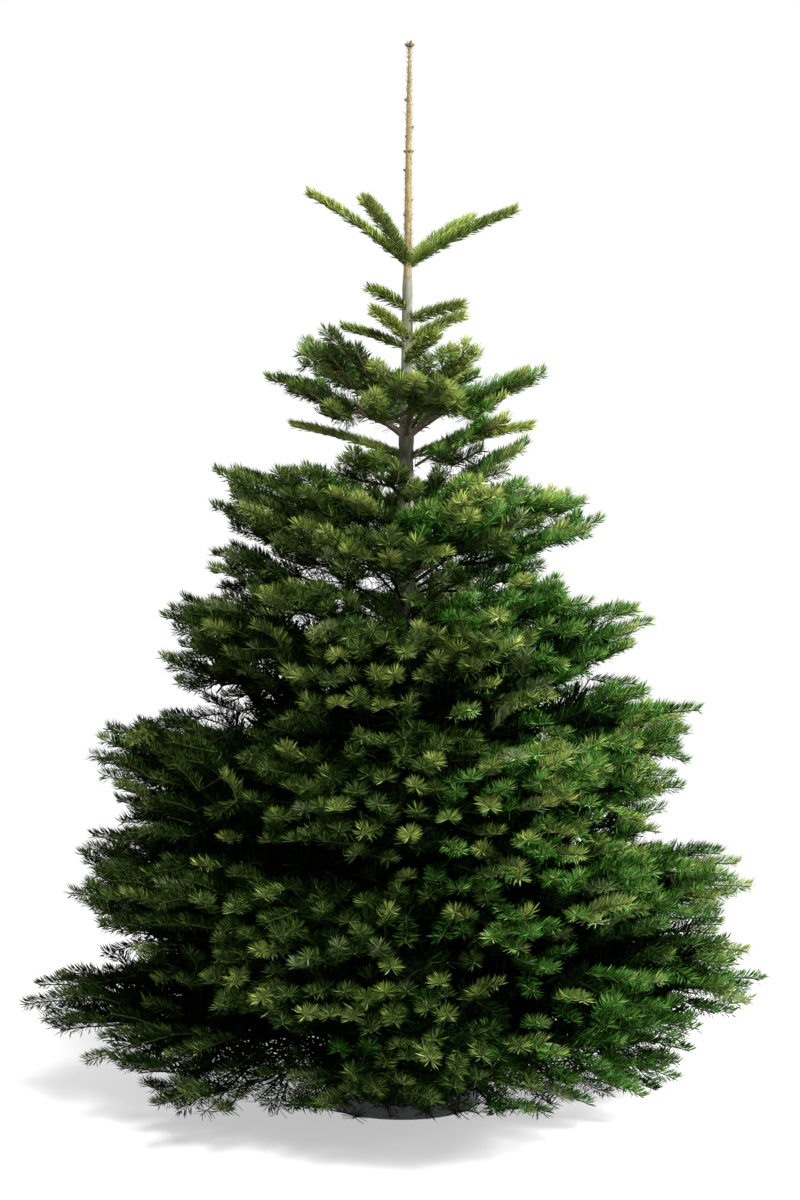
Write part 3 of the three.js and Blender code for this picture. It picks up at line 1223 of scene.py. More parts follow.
    def finish(self) -> Stretches:
        """Gathers all that has grown.

        Returns:
            The stretches.
        """
        habit = self.habit
        points, parents = np.array(self.points), np.array(self.parents)
        ages, tips = self.ages()
        ends = np.flatnonzero(parents >= 0)
        start, end, age = points[parents[ends]], points[ends], ages[ends]
        sprays = [self.sprays[i] for i in ends]
        length = np.linalg.norm(end - start, axis=1)
        turn = np.where(age == 0, *habit.turning)[:, None]
        heading = unit(end - start) * (1 - turn) + self.outward(end) * turn
        heading = unit(heading + self.rng.normal(0, habit.heading_wobble, end.shape))
        known = np.array(self.middles)[ends]
        middle = np.where(np.isnan(known), end - heading * length[:, None] * 0.5, known)
        tint, cast = self.tinting.twigs(sprays, age, self.rng)
        zone = np.array([spray.zone for spray in sprays])
        single, power = habit.wood
        wood = single * tips**power
        wood[ends] *= np.where(zone == 0, habit.top_wood, 1.0)
        return Stretches(
            p0=start,
            p1=middle,
            p2=end,
            normal=np.array([spray.normal for spray in sprays]),
            r0=np.minimum(wood[parents[ends]], wood[ends] * habit.taper),
            r1=wood[ends] * np.where(age == 0, habit.end_wood, 1.0),
            age=age,
            zone=zone,
            tint=tint,
            cast=cast,
            thick=np.array([spray.thick for spray in sprays]),
            length=length,
            depth=Shading().depths(end),
        )


# ---- Meshes from arrays ----


@dataclass
class Shapes:
    """Many like shapes: their points and their faces."""

    points: Vec
    corners: Vec  # the point numbers of all faces, one after another
    sizes: Vec  # how many corners each face has
    slots: Vec

    @classmethod
    def repeat(cls, points: Vec, faces: Sequence[Sequence[int]], slots: Vec) -> "Shapes":
        """Gives each of many shapes the same faces.

        Args:
            points: For each shape, its points.
            faces: The point numbers of each face of the first shape.
            slots: The number of each shape's finish.

        Returns:
            The shapes.
        """
        count, step = points.shape[:2]
        flat = np.concatenate([np.array(face) for face in faces])
        corners = (flat[None, :] + step * np.arange(count)[:, None]).ravel()
        sizes = np.tile([len(face) for face in faces], count)
        return cls(points.reshape(-1, 3), corners, sizes, np.repeat(slots, len(faces)))


def array_mesh(
    name: str, parts: Sequence[Shapes], finishes: Sequence[bpy.types.Material], smooth: bool
) -> bpy.types.Object:
    """Makes one object of many small shapes.

    Args:
        name: The object's name.
        parts: The shapes.
        finishes: The materials, in the order of their numbers.
        smooth: Whether the faces are shaded as one curved surface.

    Returns:
        The object.
    """
    offsets = np.cumsum([0] + [len(part.points) for part in parts])
    points = np.concatenate([part.points for part in parts]).astype(np.float32)
    corners = np.concatenate([part.corners + offset for part, offset in zip(parts, offsets)])
    sizes = np.concatenate([part.sizes for part in parts])
    slots = np.concatenate([part.slots for part in parts])
    mesh = bpy.data.meshes.new(name)
    mesh.vertices.add(len(points))
    mesh.vertices.foreach_set("co", points.ravel())
    mesh.loops.add(len(corners))
    mesh.loops.foreach_set("vertex_index", corners.astype(np.int32))
    mesh.polygons.add(len(sizes))
    mesh.polygons.foreach_set("loop_start", (np.cumsum(sizes) - sizes).astype(np.int32))
    for finish in finishes:
        mesh.materials.append(finish)
    mesh.polygons.foreach_set("material_index", slots.astype(np.int32))
    mesh.polygons.foreach_set("use_smooth", np.full(len(sizes), smooth))
    mesh.update(calc_edges=True)
    piece = bpy.data.objects.new(name, mesh)
    bpy.context.scene.collection.objects.link(piece)
    return piece


@dataclass(frozen=True)
class Blade:
    """The outline of a needle."""

    along: tuple[float, ...]  # how far along the needle each point is
    across: tuple[float, ...]  # how far to the side it is, as a share of half the width
    faces: tuple[tuple[int, ...], ...]

    def shapes(self, foot: Vec, way: Vec, wide: Vec, bend: Vec, slots: Vec) -> Shapes:
        """Makes needles of this outline.

        Args:
            foot: Each needle's foot.
            way: The way from its foot to its tip.
            wide: Half its width, sideways.
            bend: How far its tip is bent aside.
            slots: The number of its green.

        Returns:
            The needles.
        """
        along = np.array(self.along)[None, :, None]
        across = np.array(self.across)[None, :, None]
        points = foot[:, None] + way[:, None] * along + wide[:, None] * across + bend[:, None] * along**2
        return Shapes.repeat(points, self.faces, slots)


FINE_BLADE = Blade((0.0, 0.58, 1.0, 0.58), (0.0, 1.0, 0.0, -1.0), ((0, 3, 2, 1),))
PLAIN_BLADE = Blade((0.0, 0.0, 1.0, 1.0), (-0.7, 0.7, 0.6, -0.6), ((0, 3, 2, 1),))


@dataclass(frozen=True)
class Greening:
    """How the greens are dealt out to needles: each gets a score, from the darkest green up, with painted
    shade and painted light among what sets it.
    """

    by_age: tuple[float, ...] = (3.4, 1.8, 0.9, 0.4, 0.0)
    # painted shade: needles are darker the deeper they lie in the foliage
    buried: float = 3.0
    buried_depths: Span = (0.02, 0.14)
    tint: float = 0.9  # for each unit of the spray's tint
    # painted shade on the needles under their twig, at these bearings from its upper side
    under: float = 0.8
    under_bearings: Span = (60.0, 125.0)
    end: float = 0.9  # how much lighter at the end of this year's shoots: their new growth, and painted light
    end_from: float = 0.4
    spread: float = 0.5
    shaded_share: float = 0.40  # the share of needles darker than their spray: painted shade
    shaded_by: float = 1.7
    shaded_open: float = 0.3  # how much of that holds where the crown is open
    pale: float = 0.15  # the share of paler ones: the needles' pale undersides, and painted glints

    def hues(self, twigs: Stretches, t: Vec, round_by: Vec, rng: np.random.Generator) -> Vec:
        """Picks the green of each needle from its spray.

        Args:
            twigs: A row for each needle: the stretch that it is on.
            t: How far along the stretch it is.
            round_by: How far round the twig from its upper side it is, in degrees.
            rng: The random numbers.

        Returns:
            The number of each needle's green.
        """
        shade = np.array([plan.shade for plan in WHORLS])[twigs.zone]
        score = np.maximum(by_number(self.by_age, twigs.age), self.by_age[0] * (1 - shade))
        # painted shade, deeper in the foliage
        score = score - self.buried * smooth_step(*self.buried_depths, twigs.depth) * shade
        score = score + self.tint * twigs.tint - self.under * smooth_step(*self.under_bearings, round_by)
        score = score + self.end * smooth_step(self.end_from, 1.0, t) * (twigs.age == 0)
        score = score + rng.normal(0, self.spread, len(t))
        # painted shade on a random share of needles, less where the crown is open
        dimmed = self.shaded_by * (self.shaded_open + (1 - self.shaded_open) * shade)
        score = score - dimmed * (rng.random(len(t)) < self.shaded_share)
        level = np.clip(np.round(score), 0, len(CAST_HUES[Cast.WARM]) - 1).astype(int)
        cast = np.where(rng.random(len(t)) < self.pale, Cast.PALE, twigs.cast)
        return np.array([CAST_HUES[cast] for cast in Cast])[cast, level]


@dataclass
class NeedleMaker:
    """Sets needles along twigs. What is given as a share is of the usual size or number."""

    outer: int = 300_000
    inner: int = 150_000
    length: float = 0.0262
    width: float = 0.0016
    skin: float = 0.075  # how deep the outside of the crown goes
    deep: float = 0.18
    curl: float = 0.15  # how far its tip is bent up, as a share
    age_counts: tuple[float, ...] = (1.0, 0.7, 0.6, 0.6, 0.6, 0.6, 0.5)  # how many needles, by age
    sparse: float = 0.5
    sparse_depths: Span = (0.25, 0.45)
    top_aged: float = 0.35
    cover: Span = (100, 165)  # degrees round the twig that have needles
    crowding: float = 1.1  # the power that they crowd to the upper side by
    round_spread: float = 9
    lean: Span = (60, 8)  # from the twig, in degrees, and its spread
    lean_top: float = 0.64  # how much of that those on top have
    lean_full: float = 80  # the bearing where it is full
    lean_end: float = 0.15
    lean_young: float = 0.76
    end_from: float = 0.72
    sizes: Span = (0.84, 1.1)
    size_off: float = 0.14
    size_foot: Span = (0.74, 0.18)  # how long at a shoot's foot, and where full
    size_end: float = 0.12
    sway: float = 0.07
    roll: float = 0.65
    widths: Span = (0.8, 1.2)
    fine: float = 1.35
    top: float = 1.2
    fill_width: float = 3.4
    fill_length: float = 0.6
    fill_from: Span = (0.06, 0.20)  # heights where it begins and is full
    seat: float = 0.7  # where a needle's foot is, as a share of the twig's radius
    seed: int = 7

    def counts(self, twigs: Stretches) -> tuple[Vec, Vec]:
        """Deals the needles out among the stretches.

        Args:
            twigs: The stretches.

        Returns:
            The number of needles on each, and whether each is at the outside of the crown.
        """
        by_age = by_number(self.age_counts, twigs.age)
        fewer = self.sparse * smooth_step(*self.sparse_depths, twigs.depth)
        weight = by_age * twigs.thick * twigs.length * (1 - fewer)
        weight = weight * np.where((twigs.zone == 0) & (twigs.age > 1), self.top_aged, 1.0)
        outside = (twigs.depth < self.skin) & (twigs.age < AGED) | (twigs.zone == 0)
        share = np.where(outside, self.outer / weight[outside].sum(), self.inner / weight[~outside].sum())
        return np.round(weight * share).astype(int), outside

    def lengths(self, t: Vec, round_by: Vec, end: Vec, rng: np.random.Generator) -> Vec:
        """Draws the needles' lengths.

        Args:
            t: How far along its stretch each is.
            round_by: How far round the twig from its upper side it is, in degrees.
            end: How much it belongs to a shoot's end, 0 to 1.
            rng: The random numbers.

        Returns:
            The lengths, in metres.
        """
        foot, full = self.size_foot
        off_side = self.size_off * np.abs(np.abs(round_by) - 90) / 90
        size = rng.uniform(*self.sizes, len(t)) * (1 - off_side)
        rise = foot + (1 - foot) * smooth_step(0.0, full, t)
        return self.length * size * rise * (1 - self.size_end * end)

    def shapes(self, twigs: Stretches, counts: Vec, blade: Blade) -> Shapes:
        """Places the needles.

        Args:
            twigs: The stretches.
            counts: The number of needles on each.
            blade: The needles' outline.

        Returns:
            The needles.
        """
        rng = np.random.default_rng(self.seed)
        total = int(counts.sum())
        row = np.repeat(np.arange(len(counts)), counts)
        order = np.arange(total) - np.repeat(np.cumsum(counts) - counts, counts)
        t = (order + rng.random(total)) / np.repeat(counts, counts)
        each = twigs.pick(row)
        point, heading, up, across = each.at(t)
        end = smooth_step(self.end_from, 1.0, t) * (each.age == 0)
        side = np.where(order % 2 == 0, 1.0, -1.0)
        cover = rng.uniform(*self.cover, len(counts))[row]
        round_by = cover * rng.random(total) ** self.crowding
        round_by = side * (round_by + rng.normal(0, self.round_spread, total))
        off_top = np.minimum(np.abs(round_by) / self.lean_full, 1)
        lean = rng.normal(*self.lean, total) * (1 - self.lean_end * end)
        lean = lean * (self.lean_top + (1 - self.lean_top) * off_top)
        lean = lean * np.where(each.thick == YOUNG_THICK, self.lean_young, 1.0)
        size = self.lengths(t, round_by, end, rng)
        greens = Greening().hues(each, t, np.abs(round_by), rng)
        round_by, lean = np.radians(round_by)[:, None], np.radians(lean)[:, None]
        radial = up * np.cos(round_by) + across * np.sin(round_by)
        sway = rng.normal(0, self.sway, (total, 3))
        way = unit(heading * np.cos(lean) + radial * np.sin(lean) + sway)
        flat = unit(np.cross(way, up))
        roll = rng.normal(0, self.roll, total)[:, None]
        flat = flat * np.cos(roll) + np.cross(way, flat) * np.sin(roll)
        # needles deep inside are widened and lengthened to fill the crown's inside, where their painted
        # shade leaves them near black
        inside = smooth_step(self.skin, self.deep, each.depth) * smooth_step(*self.fill_from, point[:, 2])
        inside = inside * (each.zone >= OPEN_ZONES)
        wide = 0.5 * self.width * (1 + self.fill_width * inside) * rng.uniform(*self.widths, total)
        wide = wide * (self.fine if blade is FINE_BLADE else 1.0)
        wide = wide * np.where(each.zone < OPEN_ZONES, self.top, 1.0)
        size = (size * (1 + self.fill_length * inside))[:, None]
        foot = point + radial * each.radius(t)[:, None] * self.seat
        return blade.shapes(foot, way * size, wide[:, None] * flat, up * size * self.curl, greens)


@dataclass
class TwigMaker:
    """Makes the wood of the twigs: a tube of few sides for each stretch."""

    sides: int
    rings: tuple[float, ...]  # the share of the way along of each of its rings
    young_skin: float = 0.07  # how deep inside this year's keep their young tone; deeper ones take painted shade
    grown_skin: float = 0.09  # how deep those of a few years keep their grown tone; deeper ones take the old tone as painted shade

    def shapes(self, twigs: Stretches) -> Shapes:
        """Makes the tubes.

        Args:
            twigs: The stretches.

        Returns:
            The tubes, finished by TwigAge.
        """
        count, n = len(twigs.length), self.sides
        rings = []
        for t in self.rings:
            point, _, up, across = twigs.at(np.full(count, t))
            rings.append(point[:, None] + circles(up, across, n) * twigs.radius(t)[:, None, None])
        faces = [
            (k * n + i, k * n + (i + 1) % n, (k + 1) * n + (i + 1) % n, (k + 1) * n + i)
            for k in range(len(self.rings) - 1)
            for i in range(n)
        ]
        # deeper twigs take darker tones than their age gives: painted shade
        young = (twigs.age == 0) & (twigs.depth < self.young_skin)
        grown = (twigs.age < AGED) & (twigs.depth < self.grown_skin)
        bare = twigs.zone == 0
        tone = np.select([bare, young, grown], [TwigAge.BARE, TwigAge.YOUNG, TwigAge.GROWN], TwigAge.OLD)
        return Shapes.repeat(np.concatenate(rings, axis=1), faces, tone)


OUTER_TWIGS = TwigMaker(4, (0.0, 0.5, 1.0))
INNER_TWIGS = TwigMaker(3, (0.0, 1.0))


@dataclass
class BudMaker:
    """Makes buds: small pointed eggs of two rings."""

    sides: int = 4
    rings: tuple[Span, ...] = ((0.0, 0.22), (0.42, 0.33))  # how far along, and radius, as shares
    aside: tuple[float, float, float] = (0.31, 0.47, 0.83)  # a way that no bud points in

    def shapes(self, places: Vec, ways: Vec, sizes: Vec) -> Shapes:
        """Makes the buds.

        Args:
            places: Each bud's foot.
            ways: Each bud's heading.
            sizes: Each bud's length.

        Returns:
            The buds.
        """
        across = unit(np.cross(ways, np.array(self.aside)))
        n = self.sides
        circle = circles(across, np.cross(ways, across), n)
        length = sizes[:, None, None]
        foot, way = places[:, None], ways[:, None]
        rings = [foot + way * length * z + circle * length * r for z, r in self.rings]
        points = np.concatenate([*rings, foot + way * length], axis=1)
        faces = [(i, (i + 1) % n, n + (i + 1) % n, n + i) for i in range(n)]
        faces += [(n + i, n + (i + 1) % n, 2 * n) for i in range(n)]
        return Shapes.repeat(points, faces, np.zeros(len(places), dtype=int))


# ---- Pieces modelled from a ring ----


@dataclass(frozen=True)
class Ring:
    """One ring of a raised form: its radius and its centre."""

    radius: float
    z: float
    x: float = 0.0


def raise_rings(name: str, rings: Sequence[Ring], sides: int) -> bpy.types.Object:
    """Models a closed form by raising a circle from ring to ring.

    Args:
        name: The object's name.
        rings: The rings, from the first cap to the last.
        sides: The number of sides.

    Returns:
        The object, still at its first ring.
    """
    bpy.ops.object.select_all(action="DESELECT")
    first = rings[0]
    bpy.ops.mesh.primitive_circle_add(
        vertices=sides, radius=first.radius, fill_type="NGON", location=(first.x, 0.0, first.z)
    )
    piece = bpy.context.object
    piece.name = piece.data.name = name
    bpy.ops.object.mode_set(mode="EDIT")
    bpy.ops.mesh.select_all(action="SELECT")
    for before, ring in zip(rings, rings[1:]):
        step = (ring.x - before.x, 0.0, ring.z - before.z)
        bpy.ops.mesh.extrude_region_move(TRANSFORM_OT_translate={"value": step})
        grow = ring.radius / before.radius
        bpy.ops.transform.resize(value=(grow, grow, 1.0), center_override=(ring.x, 0.0, ring.z))
    bpy.ops.mesh.select_all(action="SELECT")
    bpy.ops.mesh.normals_make_consistent(inside=False)
    bpy.ops.object.mode_set(mode="OBJECT")
    bpy.ops.object.transform_apply(location=True, rotation=True, scale=True)
    return piece


def apply_modifiers(piece: bpy.types.Object) -> None:
    """Applies all of a piece's modifiers.

    Args:
        piece: The object.
    """
    select_only([piece])
    for modifier in list(piece.modifiers):
        bpy.ops.object.modifier_apply(modifier=modifier.name)


@dataclass(frozen=True)
class Relief:
    """An uneven surface."""

    grain: float
    depth: float
    levels: int = 2

    def raise_on(self, piece: bpy.types.Object) -> None:
        """Subdivides a piece and gives it the bumps.

        Args:
            piece: The object.
        """
        rounding = piece.modifiers.new("rounding", "SUBSURF")
        rounding.levels = rounding.render_levels = self.levels
        bumps = bpy.data.textures.new(piece.name + "_bumps", "CLOUDS")
        bumps.noise_scale = self.grain
        bumps.noise_depth = 3
        relief = piece.modifiers.new("relief", "DISPLACE")
        relief.texture = bumps
        relief.texture_coords = "GLOBAL"
        relief.strength = self.depth
        relief.mid_level = 0.5
        apply_modifiers(piece)
        bpy.ops.object.shade_smooth()


@dataclass
class TrunkWood:
    """The trunk, from its flat cut to the tip of the leader."""

    line: TrunkLine
    sides: int = 14
    spacing: float = 0.05  # between its rings, besides the CAD one's
    closest: float = 0.008
    cut: float = 0.6  # the radius of the ring inside the cut, as a share
    relief: Relief = Relief(0.03, 0.0022)

    def build(self, finish: bpy.types.Material) -> bpy.types.Object:
        """Models the trunk over the CAD one.

        Args:
            finish: The bark.

        Returns:
            The object.
        """
        low, high = self.line.z[0], self.line.z[-1]
        even = np.linspace(low, high, int((high - low) / self.spacing))
        levels = np.unique(np.round(np.concatenate([even, self.line.z]), 3))
        levels = [z for i, z in enumerate(levels) if i == 0 or z - levels[i - 1] > self.closest]
        rings = [Ring(self.line.radius(z), z, self.line.centre(z)[0]) for z in levels]
        rings.insert(0, Ring(rings[0].radius * self.cut, rings[0].z, rings[0].x))
        trunk = raise_rings("trunk_bark", rings, self.sides)
        self.relief.raise_on(trunk)
        trunk.data.materials.append(finish)
        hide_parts("trunk")
        return trunk


@dataclass
class BoughWood:
    """The bare inner part of the main boughs of one whorl, with the collars at the trunk."""

    whorl: str
    guides: Sequence[Guide]
    trunk: TrunkLine
    sides: int = 10
    sunk: float = 0.6  # where it begins, as a share of the trunk's radius
    collar: tuple[Span, ...] = ((0.0, 1.75), (0.008, 1.5), (0.018, 1.22), (0.032, 1.1))  # out, and thickness
    narrow: Span = (0.75, 1.03)  # share of its length, and thickness there
    over: float = 0.004  # how far it reaches past the CAD one
    taper: float = 0.25  # how much thicker it is at the trunk
    relief: Relief = Relief(0.012, 0.0014)

    def build(self, finish: bpy.types.Material) -> bpy.types.Object:
        """Models each bough over the CAD one and joins them.

        Args:
            finish: The bark.

        Returns:
            The joined object.
        """
        limbs = [self._limb(i, guide) for i, guide in enumerate(self.guides)]
        boughs = joined(limbs, "boughs_" + self.whorl)
        boughs.data.materials.append(finish)
        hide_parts(*(f"bough_{self.whorl}_{i + 1}" for i in range(len(self.guides))))
        return boughs

    def _limb(self, number: int, guide: Guide) -> bpy.types.Object:
        """Models one bough.

        Args:
            number: The bough's number in its whorl.
            guide: Its line.

        Returns:
            The object.
        """
        away = guide.start - guide.foot
        length = float(np.linalg.norm(away))
        skin = self.trunk.radius(guide.foot[2]) * self.sunk
        steps = [(skin + out, grow) for out, grow in self.collar]
        steps += [(length * self.narrow[0], self.narrow[1]), (length + self.over, 1.0)]
        rings = [Ring(guide.radius * grow * (1 + self.taper * (1 - z / length)), z) for z, grow in steps]
        limb = raise_rings(f"limb_{self.whorl}_{number + 1}", rings, self.sides)
        limb.rotation_mode = "QUATERNION"
        limb.rotation_quaternion = Vector(away).to_track_quat("Z", "Y")
        limb.location = guide.foot
        bpy.ops.object.transform_apply(location=True, rotation=True, scale=True)
        self.relief.raise_on(limb)
        return limb


@dataclass(frozen=True)
class LeaderBud:
    """One bud of the leader: its distance under the tip, its bearing, its lean in degrees and its length."""

    down: float
    turn: float
    lean: float
    size: float = 0.008


@dataclass
class Leader:
    """The dried needles and the buds of the leader."""

    line: TrunkLine
    foot: float = 1.585
    needles: int = 620
    length: float = 0.0115
    thinning: float = 1.1  # the power that they get fewer upwards by
    lean: Span = (26, 13)  # in degrees, and its spread
    sway: float = 0.08
    sizes: Span = (0.45, 1.15)
    half_width: float = 0.0008
    needle_seat: float = 0.92  # as a share of the leader's radius
    bud_seat: float = 0.7
    crown: tuple[int, float, float] = (6, 62.0, 0.0095)  # round the tip: how many, lean and length
    top: LeaderBud = LeaderBud(0.004, 0.0, 0.0, 0.012)
    small: tuple[LeaderBud, ...] = (
        LeaderBud(0.105, 3.1, 60.0), LeaderBud(0.155, 0.2, 60.0), LeaderBud(0.200, 0.1, 62.0),
        LeaderBud(0.200, 2.2, 62.0), LeaderBud(0.200, 3.3, 62.0), LeaderBud(0.200, 5.0, 62.0),
        LeaderBud(0.235, 3.0, 58.0), LeaderBud(0.290, 0.4, 58.0), LeaderBud(0.318, 3.4, 58.0),
    )
    bud_sway: float = 0.15
    bud_sides: int = 8

    def dried(self, seed: int) -> Shapes:
        """Places the dried needles that lie along the leader.

        Args:
            seed: The seed of their scatter.

        Returns:
            The needles, of two tones.
        """
        rng = np.random.default_rng(seed)
        count = self.needles
        z = self.foot + (self.line.z[-1] - self.foot) * np.sort(rng.random(count)) ** self.thinning
        foot, radial = self.line.around(z, np.arange(count) * GOLDEN_TURN, self.needle_seat)
        lean = np.radians(rng.normal(*self.lean, count))[:, None]
        sway = rng.normal(0, self.sway, (count, 3))
        way = unit(UP * np.cos(lean) + radial * np.sin(lean) + sway)
        size = (self.length * rng.uniform(*self.sizes, count))[:, None]
        wide = unit(np.cross(way, radial)) * self.half_width
        return FINE_BLADE.shapes(foot, way * size, wide, way * 0.0, rng.integers(0, 2, count))

    def buds(self, seed: int) -> Shapes:
        """Places the cluster of buds at the top and the small ones down the leader.

        Args:
            seed: The seed of their scatter.

        Returns:
            The buds.
        """
        rng = np.random.default_rng(seed)
        count, lean, size = self.crown
        rows = [LeaderBud(self.top.down, i * 2 * math.pi / count, lean, size) for i in range(count)]
        rows += [self.top, *self.small]
        turn = np.array([row.turn for row in rows]) + rng.normal(0, self.bud_sway, len(rows))
        lean = np.radians([row.lean for row in rows])[:, None]
        z = self.line.z[-1] - np.array([row.down for row in rows])
        places, radial = self.line.around(z, turn, self.bud_seat)
        sizes = np.array([row.size for row in rows])
        return BudMaker(self.bud_sides).shapes(places, UP * np.cos(lean) + radial * np.sin(lean), sizes)


# ---- The stand ----


@dataclass
class StandBase:
    """The low round stand with its socket, as wide and as high as the CAD one."""

    sides: int = 64
    rim: tuple[Span, ...] = (  # each ring's inset and height
        (0.006, 0.0), (0.0015, 0.0015), (0.0, 0.006), (0.0, 0.032), (0.003, 0.040), (0.009, 0.044),
        (0.014, 0.045), (0.020, 0.045), (0.023, 0.043), (0.034, 0.048),
    )
    dome: tuple[Span, ...] = (
        (0.09768, 0.058), (0.076, 0.068), (0.064, 0.074), (0.060, 0.082),
    )
    collar: tuple[Span, ...] = (  # each ring's radius and distance from the top
        (0.060, 0.012), (0.062, 0.009), (0.062, 0.002), (0.060, 0.0), (0.052, 0.0), (0.050, 0.002),
    )
    socket: tuple[Span, ...] = ((0.047, 0.016), (0.042, 0.012))
    crease: float = 40  # degrees, from which an edge stays sharp

    def build(self, finish: bpy.types.Material) -> bpy.types.Object:
        """Models the stand.

        Args:
            finish: The paint.

        Returns:
            The object.
        """
        width, _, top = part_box("stand_base")[1]
        rings = [Ring(width - inset, z) for inset, z in self.rim]
        rings += [Ring(radius, z) for radius, z in self.dome]
        rings += [Ring(radius, top - under) for radius, under in self.collar]
        rings += [Ring(radius, z) for radius, z in self.socket]
        base = raise_rings("stand_body", rings, self.sides)
        bpy.ops.object.shade_smooth_by_angle(angle=math.radians(self.crease))
        base.data.materials.append(finish)
        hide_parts("stand_base")
        return base


@dataclass
class StandClamp:
    """The ring with its three winged screws."""

    screws: int = 3
    first_turn: float = 30.0  # the bearing of the first, in degrees
    margin: float = 0.004  # of the screws' wings over the ring
    ring: Span = (0.0555, 0.0075)  # the ring's radius and half its thickness
    bite: float = 0.001  # of the points into the trunk
    head: float = 0.073
    shank: tuple[Span, ...] = ((0.0022, 0.0), (0.0040, 0.004))  # each ring's radius, and way from the point
    neck: tuple[Span, ...] = (  # each ring's radius, and distance from the head's foot
        (0.0040, -0.002), (0.0068, 0.0), (0.0068, 0.004), (0.0050, 0.006), (0.0030, 0.0065),
    )
    wing: Span = (0.0105, 0.003)  # a wing's place, out and up from the head's foot
    wing_size: tuple[float, float, float] = (0.010, 0.0028, 0.006)
    wing_edge: float = 0.001
    crease: float = 35  # degrees, from which an edge stays sharp

    def build(self, finish: bpy.types.Material, trunk: TrunkLine) -> bpy.types.Object:
        """Models the ring and screws and joins them.

        Args:
            finish: The plating.
            trunk: The trunk's line, which the screws bear on.

        Returns:
            The joined object.
        """
        low, high = (corner[2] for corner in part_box("stand_clamp"))
        middle = (low + high) / 2
        pieces = [self._ring(middle, high - low - 2 * self.margin)]
        for i in range(self.screws):
            turn = math.radians(self.first_turn + 360 * i / self.screws)
            pieces.append(self._screw(trunk.radius(middle) - self.bite, turn, middle))
        clamp = joined(pieces, "clamp_ring")
        clamp.data.materials.append(finish)
        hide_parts("stand_clamp")
        return clamp

    def _ring(self, middle: float, thick: float) -> bpy.types.Object:
        """Models the ring.

        Args:
            middle: The height of its middle.
            thick: How thick it is, from its lower to its upper side.

        Returns:
            The object.
        """
        radius, half = self.ring
        bpy.ops.object.select_all(action="DESELECT")
        bpy.ops.mesh.primitive_torus_add(
            major_segments=48,
            minor_segments=12,
            major_radius=radius,
            minor_radius=half,
            location=(0.0, 0.0, middle),
        )
        ring = bpy.context.object
        bpy.ops.object.mode_set(mode="EDIT")
        bpy.ops.mesh.select_all(action="SELECT")
        bpy.ops.transform.resize(value=(1.0, 1.0, thick / (2 * half)))
        bpy.ops.object.mode_set(mode="OBJECT")
        bpy.ops.object.transform_apply(location=True, rotation=True, scale=True)
        bpy.ops.object.shade_smooth()
        return ring

    def _screw(self, point: float, turn: float, height: float) -> bpy.types.Object:
        """Models one screw with its wings.

        Args:
            point: Where its point bears on the trunk.
            turn: Its bearing.
            height: Its height.

        Returns:
            The object.
        """
        rings = [Ring(radius, point + out) for radius, out in self.shank]
        rings += [Ring(radius, self.head + out) for radius, out in self.neck]
        screw = raise_rings("screw", rings, 16)
        bpy.ops.object.mode_set(mode="EDIT")
        for side in (-1.0, 1.0):
            place = (side * self.wing[0], 0.0, self.head + self.wing[1])
            bpy.ops.mesh.select_all(action="DESELECT")
            bpy.ops.mesh.primitive_cube_add(size=1.0, location=place)
            bpy.ops.transform.resize(value=self.wing_size, center_override=place)
            bpy.ops.mesh.bevel(offset=self.wing_edge, segments=2)
        bpy.ops.object.mode_set(mode="OBJECT")
        screw.rotation_euler = (0.0, math.pi / 2, turn)
        screw.location = (0.0, 0.0, height)
        bpy.ops.object.transform_apply(location=True, rotation=True, scale=True)
        bpy.ops.object.shade_smooth_by_angle(angle=math.radians(self.crease))
        return screw


# ---- The studio ----


@dataclass(frozen=True)
class Lamp:
    """One large soft light: its name, its place, its width in metres and its power in watts."""

    name: str
    place: tuple[float, float, float]
    size: float
    power: float

    def hang(self, aim: Vector) -> None:
        """Hangs the light.

        Args:
            aim: The place that it faces.
        """
        data = bpy.data.lights.new(self.name, "AREA")
        data.shape = "DISK"
        data.size = self.size
        data.energy = self.power
        light = bpy.data.objects.new(self.name, data)
        light.location = self.place
        light.rotation_euler = (aim - Vector(self.place)).to_track_quat("-Z", "Y").to_euler()
        bpy.context.scene.collection.objects.link(light)


